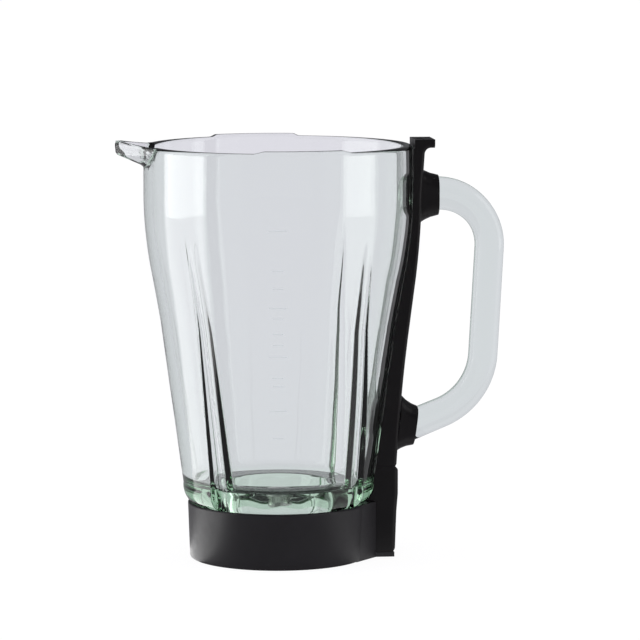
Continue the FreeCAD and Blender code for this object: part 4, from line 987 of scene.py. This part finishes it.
@dataclass
class LiftSpring:
    """The interlock's spring, with its lower end on its seat.

    Sizes are in millimetres and are those of its CAD solid.
    """

    finish: GroundSteel
    axis: tuple[float, float] = (59.1, -7.0)
    low: float = 6.6
    high: float = 42.9
    radius: float = 2.75
    wire: float = 0.4
    turns: int = 9
    turn_steps: int = 28
    facets: int = 10
    stroke: float = 2.5

    def rings(self) -> np.ndarray:
        """Trace the wire's surface as rings along the coil.

        Returns:
            Rings of points, one for each step along the wire.
        """
        steps = np.linspace(0.0, 1.0, self.turns * self.turn_steps + 1)
        around = steps * self.turns * 2 * math.pi
        rise = self.high - self.low - 2 * self.wire
        centre = np.stack([self.axis[0] + self.radius * np.cos(around),
                           self.axis[1] + self.radius * np.sin(around),
                           self.low + self.wire + rise * steps], axis=1)
        ahead = np.stack([-self.radius * np.sin(around), self.radius * np.cos(around),
                          np.full_like(around, rise / self.turns / 2 / math.pi)], axis=1)
        ahead /= np.linalg.norm(ahead, axis=1, keepdims=True)
        out = np.stack([np.cos(around), np.sin(around), 0 * around], axis=1)
        up = np.cross(ahead, out)
        turn = np.linspace(0, 2 * math.pi, self.facets, endpoint=False)[None, :, None]
        section = out[:, None, :] * np.cos(turn) + up[:, None, :] * np.sin(turn)
        return centre[:, None, :] + self.wire * section

    def build(self) -> None:
        """Wind the spring in place of its plain solid."""
        rings = self.rings()
        rows, count = rings.shape[:2]
        faces = grid_faces(rows, count, closed_rows=False)
        faces.append(tuple(reversed(range(count))))
        faces.append(tuple(range((rows - 1) * count, rows * count)))
        piece = mesh_piece("lift_spring", rings.reshape(-1, 3), faces, self.finish.build())
        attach(piece, "jug")
        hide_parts("interlock_spring")
        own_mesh(piece)
        LOG.info("lift spring: %d turns", self.turns)


# ---------------------------------------------- mouldings, metalwork, seals


@dataclass
class Mouldings:
    """The black spine, heel and collar, and the dark mouldings inside the collar."""

    spine: MouldedPlastic = MouldedPlastic("black_spine_plastic", (0.0045, 0.0038, 0.0041),
                                           (0.0065, 0.0056, 0.0060), 0.30, 0.38, shine=0.24)
    collar: MouldedPlastic = MouldedPlastic("black_collar_plastic", (0.0100, 0.0093, 0.0108),
                                            (0.0130, 0.0122, 0.0138), 0.36, 0.44, shine=0.38)
    inner: MouldedPlastic = MouldedPlastic("dark_inner_plastic", (0.035, 0.035, 0.039),
                                           (0.055, 0.055, 0.060), 0.42, 0.55, 1800.0)
    spine_nodes: tuple[str, ...] = ("spine_near_cover", "spine_far_cover", "spine_heel")
    collar_nodes: tuple[str, ...] = ("collar_shell",)
    inner_nodes: tuple[str, ...] = ("neck_clamp", "bayonet_ring", "blade_carrier",
                                    "interlock_button", "drive_coupling")

    def build(self) -> None:
        """Dress the black and dark mouldings."""
        dress(self.spine_nodes, self.spine.build())
        dress(self.collar_nodes, self.collar.build())
        dress(self.inner_nodes, self.inner.build())


@dataclass
class Metalwork:
    """Blades, shaft, screws, bushes and the interlock's rod."""

    blades: GroundSteel = GroundSteel("ground_blade_steel", (0.63, 0.62, 0.61), 0.20)
    turned: GroundSteel = GroundSteel("turned_steel", (0.60, 0.59, 0.58), 0.28,
                                      (2200.0, 2200.0, 300.0))
    screws: GroundSteel = GroundSteel("zinc_plated_screws", (0.55, 0.56, 0.58), 0.34,
                                      (1500.0, 1500.0, 1500.0))
    rod: GroundSteel = GroundSteel("drawn_rod_steel", (0.58, 0.58, 0.59), 0.30,
                                   (2600.0, 2600.0, 80.0))
    bronze: SinteredBronze = SinteredBronze()
    blade_nodes: tuple[str, ...] = ("lower_blade", "upper_blade")
    turned_nodes: tuple[str, ...] = ("cap_nut", "blade_spacer", "blade_shaft", "thrust_washer",
                                     "bearing_housing")
    screw_nodes: tuple[str, ...] = ("spine_screws", "foot_screws", "collar_screws", "coupling_clip")
    rod_nodes: tuple[str, ...] = ("push_strip", "interlock_pin")
    bronze_nodes: tuple[str, ...] = ("lower_bush", "upper_bush")

    def build(self) -> None:
        """Dress the metal pieces."""
        dress(self.blade_nodes, self.blades.build())
        dress(self.turned_nodes, self.turned.build())
        dress(self.screw_nodes, self.screws.build())
        dress(self.rod_nodes, self.rod.build())
        dress(self.bronze_nodes, self.bronze.build())


@dataclass
class Seals:
    """Gaskets, pads and bushes of soft elastomer."""

    finish: SoftSeal = SoftSeal()
    names: tuple[str, ...] = ("neck_gasket", "carrier_seal", "shaft_seal", "spine_pads",
                              "upper_handle_bush", "lower_handle_bush")

    def build(self) -> None:
        """Dress the soft pieces."""
        dress(self.names, self.finish.build())


def dress(names: tuple[str, ...], material: bpy.types.Material) -> None:
    """Give CAD pieces one finish.

    Args:
        names: the pieces.
        material: their finish.
    """
    for name in names:
        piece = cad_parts[name]
        piece.data.materials.clear()
        piece.data.materials.append(material)
        LOG.info("%s: %s", name, material.name)


# ------------------------------------------------------------------- studio


@dataclass(frozen=True)
class Lamp:
    """One softbox and the painted light on the floor below it, which glossy surfaces reflect, in metres and
    degrees.
    """

    name: str
    azimuth: float
    radiance: float
    width: float
    tall: float
    distance: float = 1.3
    height: float = 0.35
    # brightness of the light painted on the floor below this softbox, seen only by glossy surfaces
    painted_floor_light: float = 1.5

    def heading(self, turn: float) -> Vector:
        """Give the level direction from the jug towards the softbox, for a camera so turned."""
        around = math.radians(self.azimuth - turn)
        return Vector((math.sin(around), -math.cos(around), 0.0))


@dataclass
class Studio:
    """Pale floor, soft lights and the camera, in metres and degrees."""

    turn: float = 6.0
    distance: float = 2.050
    height: float = 0.376
    aside: float = 0.0229
    tilt: float = 6.826
    lens: float = 212.0
    lit_height: float = 0.13
    backdrop: Colour = (0.748, 0.718, 0.798)
    gloss: Colour = (0.13, 0.13, 0.14)
    floor_gloss: Colour = (0.30, 0.30, 0.31)
    floor_colour: Colour = (0.88, 0.88, 0.88)
    floor_glow: float = 1.06
    glow_share: float = 0.88
    floor_radius: float = 30.0
    # softness of the edges of the light painted on the floor
    painted_light_edge: float = 0.04
    # each lamp's last value is the brightness of the light painted on the floor below it
    lamps: tuple[Lamp, ...] = (Lamp("left_softbox", -87.0, 1.35, 1.15, 1.7, painted_floor_light=2.9),
                               Lamp("right_softbox", 74.0, 1.0, 0.70, 1.5, painted_floor_light=0.8))

    def camera(self) -> None:
        """Place the camera in front of the jug, slightly above its rim."""
        turn, tilt = math.radians(self.turn), math.radians(self.tilt)
        ahead = Vector((math.sin(turn), math.cos(turn), 0.0))
        right = Vector((math.cos(turn), -math.sin(turn), 0.0))
        eye = -ahead * self.distance + right * self.aside + Vector((0.0, 0.0, self.height))
        aim = ahead * math.cos(tilt) - Vector((0.0, 0.0, math.sin(tilt)))
        data = bpy.data.cameras.new("camera")
        data.lens = self.lens
        data.sensor_width = 36.0
        data.clip_start, data.clip_end = 0.1, 60.0
        camera = bpy.data.objects.new("camera", data)
        camera.location = eye
        camera.rotation_mode = "QUATERNION"
        camera.rotation_quaternion = aim.to_track_quat("-Z", "Y")
        bpy.context.scene.collection.objects.link(camera)
        bpy.context.scene.camera = camera

    def softbox(self, lamp: Lamp) -> None:
        """Hang a softbox that faces the jug.

        Args:
            lamp: the softbox.
        """
        place = lamp.heading(self.turn) * lamp.distance + Vector((0.0, 0.0, lamp.height))
        data = bpy.data.lights.new(lamp.name, "AREA")
        data.shape = "RECTANGLE"
        data.size, data.size_y = lamp.width, lamp.tall
        data.energy = lamp.radiance * math.pi * lamp.width * lamp.tall
        item = bpy.data.objects.new(lamp.name, data)
        item.location = place
        item.rotation_mode = "QUATERNION"
        aim = Vector((0.0, 0.0, self.lit_height)) - place
        item.rotation_quaternion = aim.to_track_quat("-Z", "Y")
        bpy.context.scene.collection.objects.link(item)

    def painted_floor_light(self, board: Board) -> bpy.types.NodeSocket:
        """Paint light onto the floor below each softbox, as a bright patch that only glossy surfaces see.

        Args:
            board: the floor's node board.

        Returns:
            The colour that glossy surfaces see in the floor, painted light included.
        """
        flat = board.add("ShaderNodeVectorMath", operation="NORMALIZE")
        board.join(board.place(), flat.inputs[0])
        colour: bpy.types.NodeSocket | Colour = self.floor_gloss
        # each lamp adds a painted patch of light to the floor, in the sector that faces it
        for lamp in self.lamps:
            along = board.add("ShaderNodeVectorMath", operation="DOT_PRODUCT")
            along.inputs[1].default_value = lamp.heading(self.turn)
            board.join(flat.outputs[0], along.inputs[0])
            half = math.atan(lamp.width / 2 / lamp.distance)
            painted_patch = board.spread(along.outputs["Value"], 0.0, 1.0, math.cos(half + self.painted_light_edge),
                                 math.cos(half - self.painted_light_edge))
            colour = blend(board.tree, painted_patch, colour, (lamp.painted_floor_light, lamp.painted_floor_light, lamp.painted_floor_light))
        return colour

    def shade(self, tree: bpy.types.NodeTree, gloss: bpy.types.NodeSocket | Colour) -> bpy.types.NodeSocket:
        """Choose a colour by what looks at it: the camera, a glossy surface or glass.

        Args:
            tree: the node tree to add to.
            gloss: what glossy surfaces reflect.

        Returns:
            White to the camera, the gloss colour to gloss, and the backdrop to all else.
        """
        path = tree.nodes.new("ShaderNodeLightPath")
        colour = blend(tree, path.outputs["Is Glossy Ray"], self.backdrop, gloss)
        colour = blend(tree, path.outputs["Is Transmission Ray"], colour, self.backdrop)
        return blend(tree, path.outputs["Is Camera Ray"], colour, WHITE)

    def world(self) -> None:
        """Make the surroundings: a pale backdrop, darker where gloss reflects it."""
        world = bpy.data.worlds.new("studio")
        bpy.context.scene.world = world
        world.use_nodes = True
        tree = world.node_tree
        tree.nodes.clear()
        out = tree.nodes.new("ShaderNodeOutputWorld")
        ground = tree.nodes.new("ShaderNodeBackground")
        tree.links.new(self.shade(tree, self.gloss), ground.inputs["Color"])
        tree.links.new(ground.outputs[0], out.inputs["Surface"])

    def floor(self) -> None:
        """Lay the pale floor, which keeps the jug's shadow."""
        board = Board("pale_floor")
        matt = board.add("ShaderNodeBsdfDiffuse", Color=(*self.floor_colour, 1.0))
        glow = board.add("ShaderNodeEmission", Strength=self.floor_glow)
        # glossy surfaces see the floor glow, with painted light below each softbox
        board.join(self.shade(board.tree, self.painted_floor_light(board)), glow.inputs["Color"])
        path = board.add("ShaderNodeLightPath")
        lit = board.add("ShaderNodeMath", operation="MULTIPLY_ADD")
        lit.inputs[1].default_value = -self.glow_share
        lit.inputs[2].default_value = self.glow_share
        board.join(path.outputs["Is Diffuse Ray"], lit.inputs[0])
        mix = board.add("ShaderNodeMixShader")
        board.join(lit.outputs[0], mix.inputs[0])
        board.join(matt.outputs[0], mix.inputs[1])
        board.join(glow.outputs[0], mix.inputs[2])
        turn = np.linspace(0, 2 * math.pi, 96, endpoint=False)
        edge = np.stack([np.cos(turn), np.sin(turn), 0 * turn], axis=1) * self.floor_radius / MM
        floor = mesh_piece("floor", edge, [tuple(range(len(edge)))], board.surface(mix))

    def build(self) -> None:
        """Set the stage."""
        self.camera()
        self.world()
        self.floor()
        for lamp in self.lamps:
            self.softbox(lamp)
        bpy.context.scene.view_settings.view_transform = "Standard"


def main() -> None:
    """Build every piece in order."""
    logging.basicConfig(level=logging.INFO, format="%(name)s: %(message)s")
    glass = GlassJug()
    glass.build()
    FillScale(glass).build()
    Mouldings().build()
    metalwork = Metalwork()
    metalwork.build()
    LiftSpring(metalwork.rod).build()
    Seals().build()
    Studio().build()


if __name__ == "__main__":
    main()
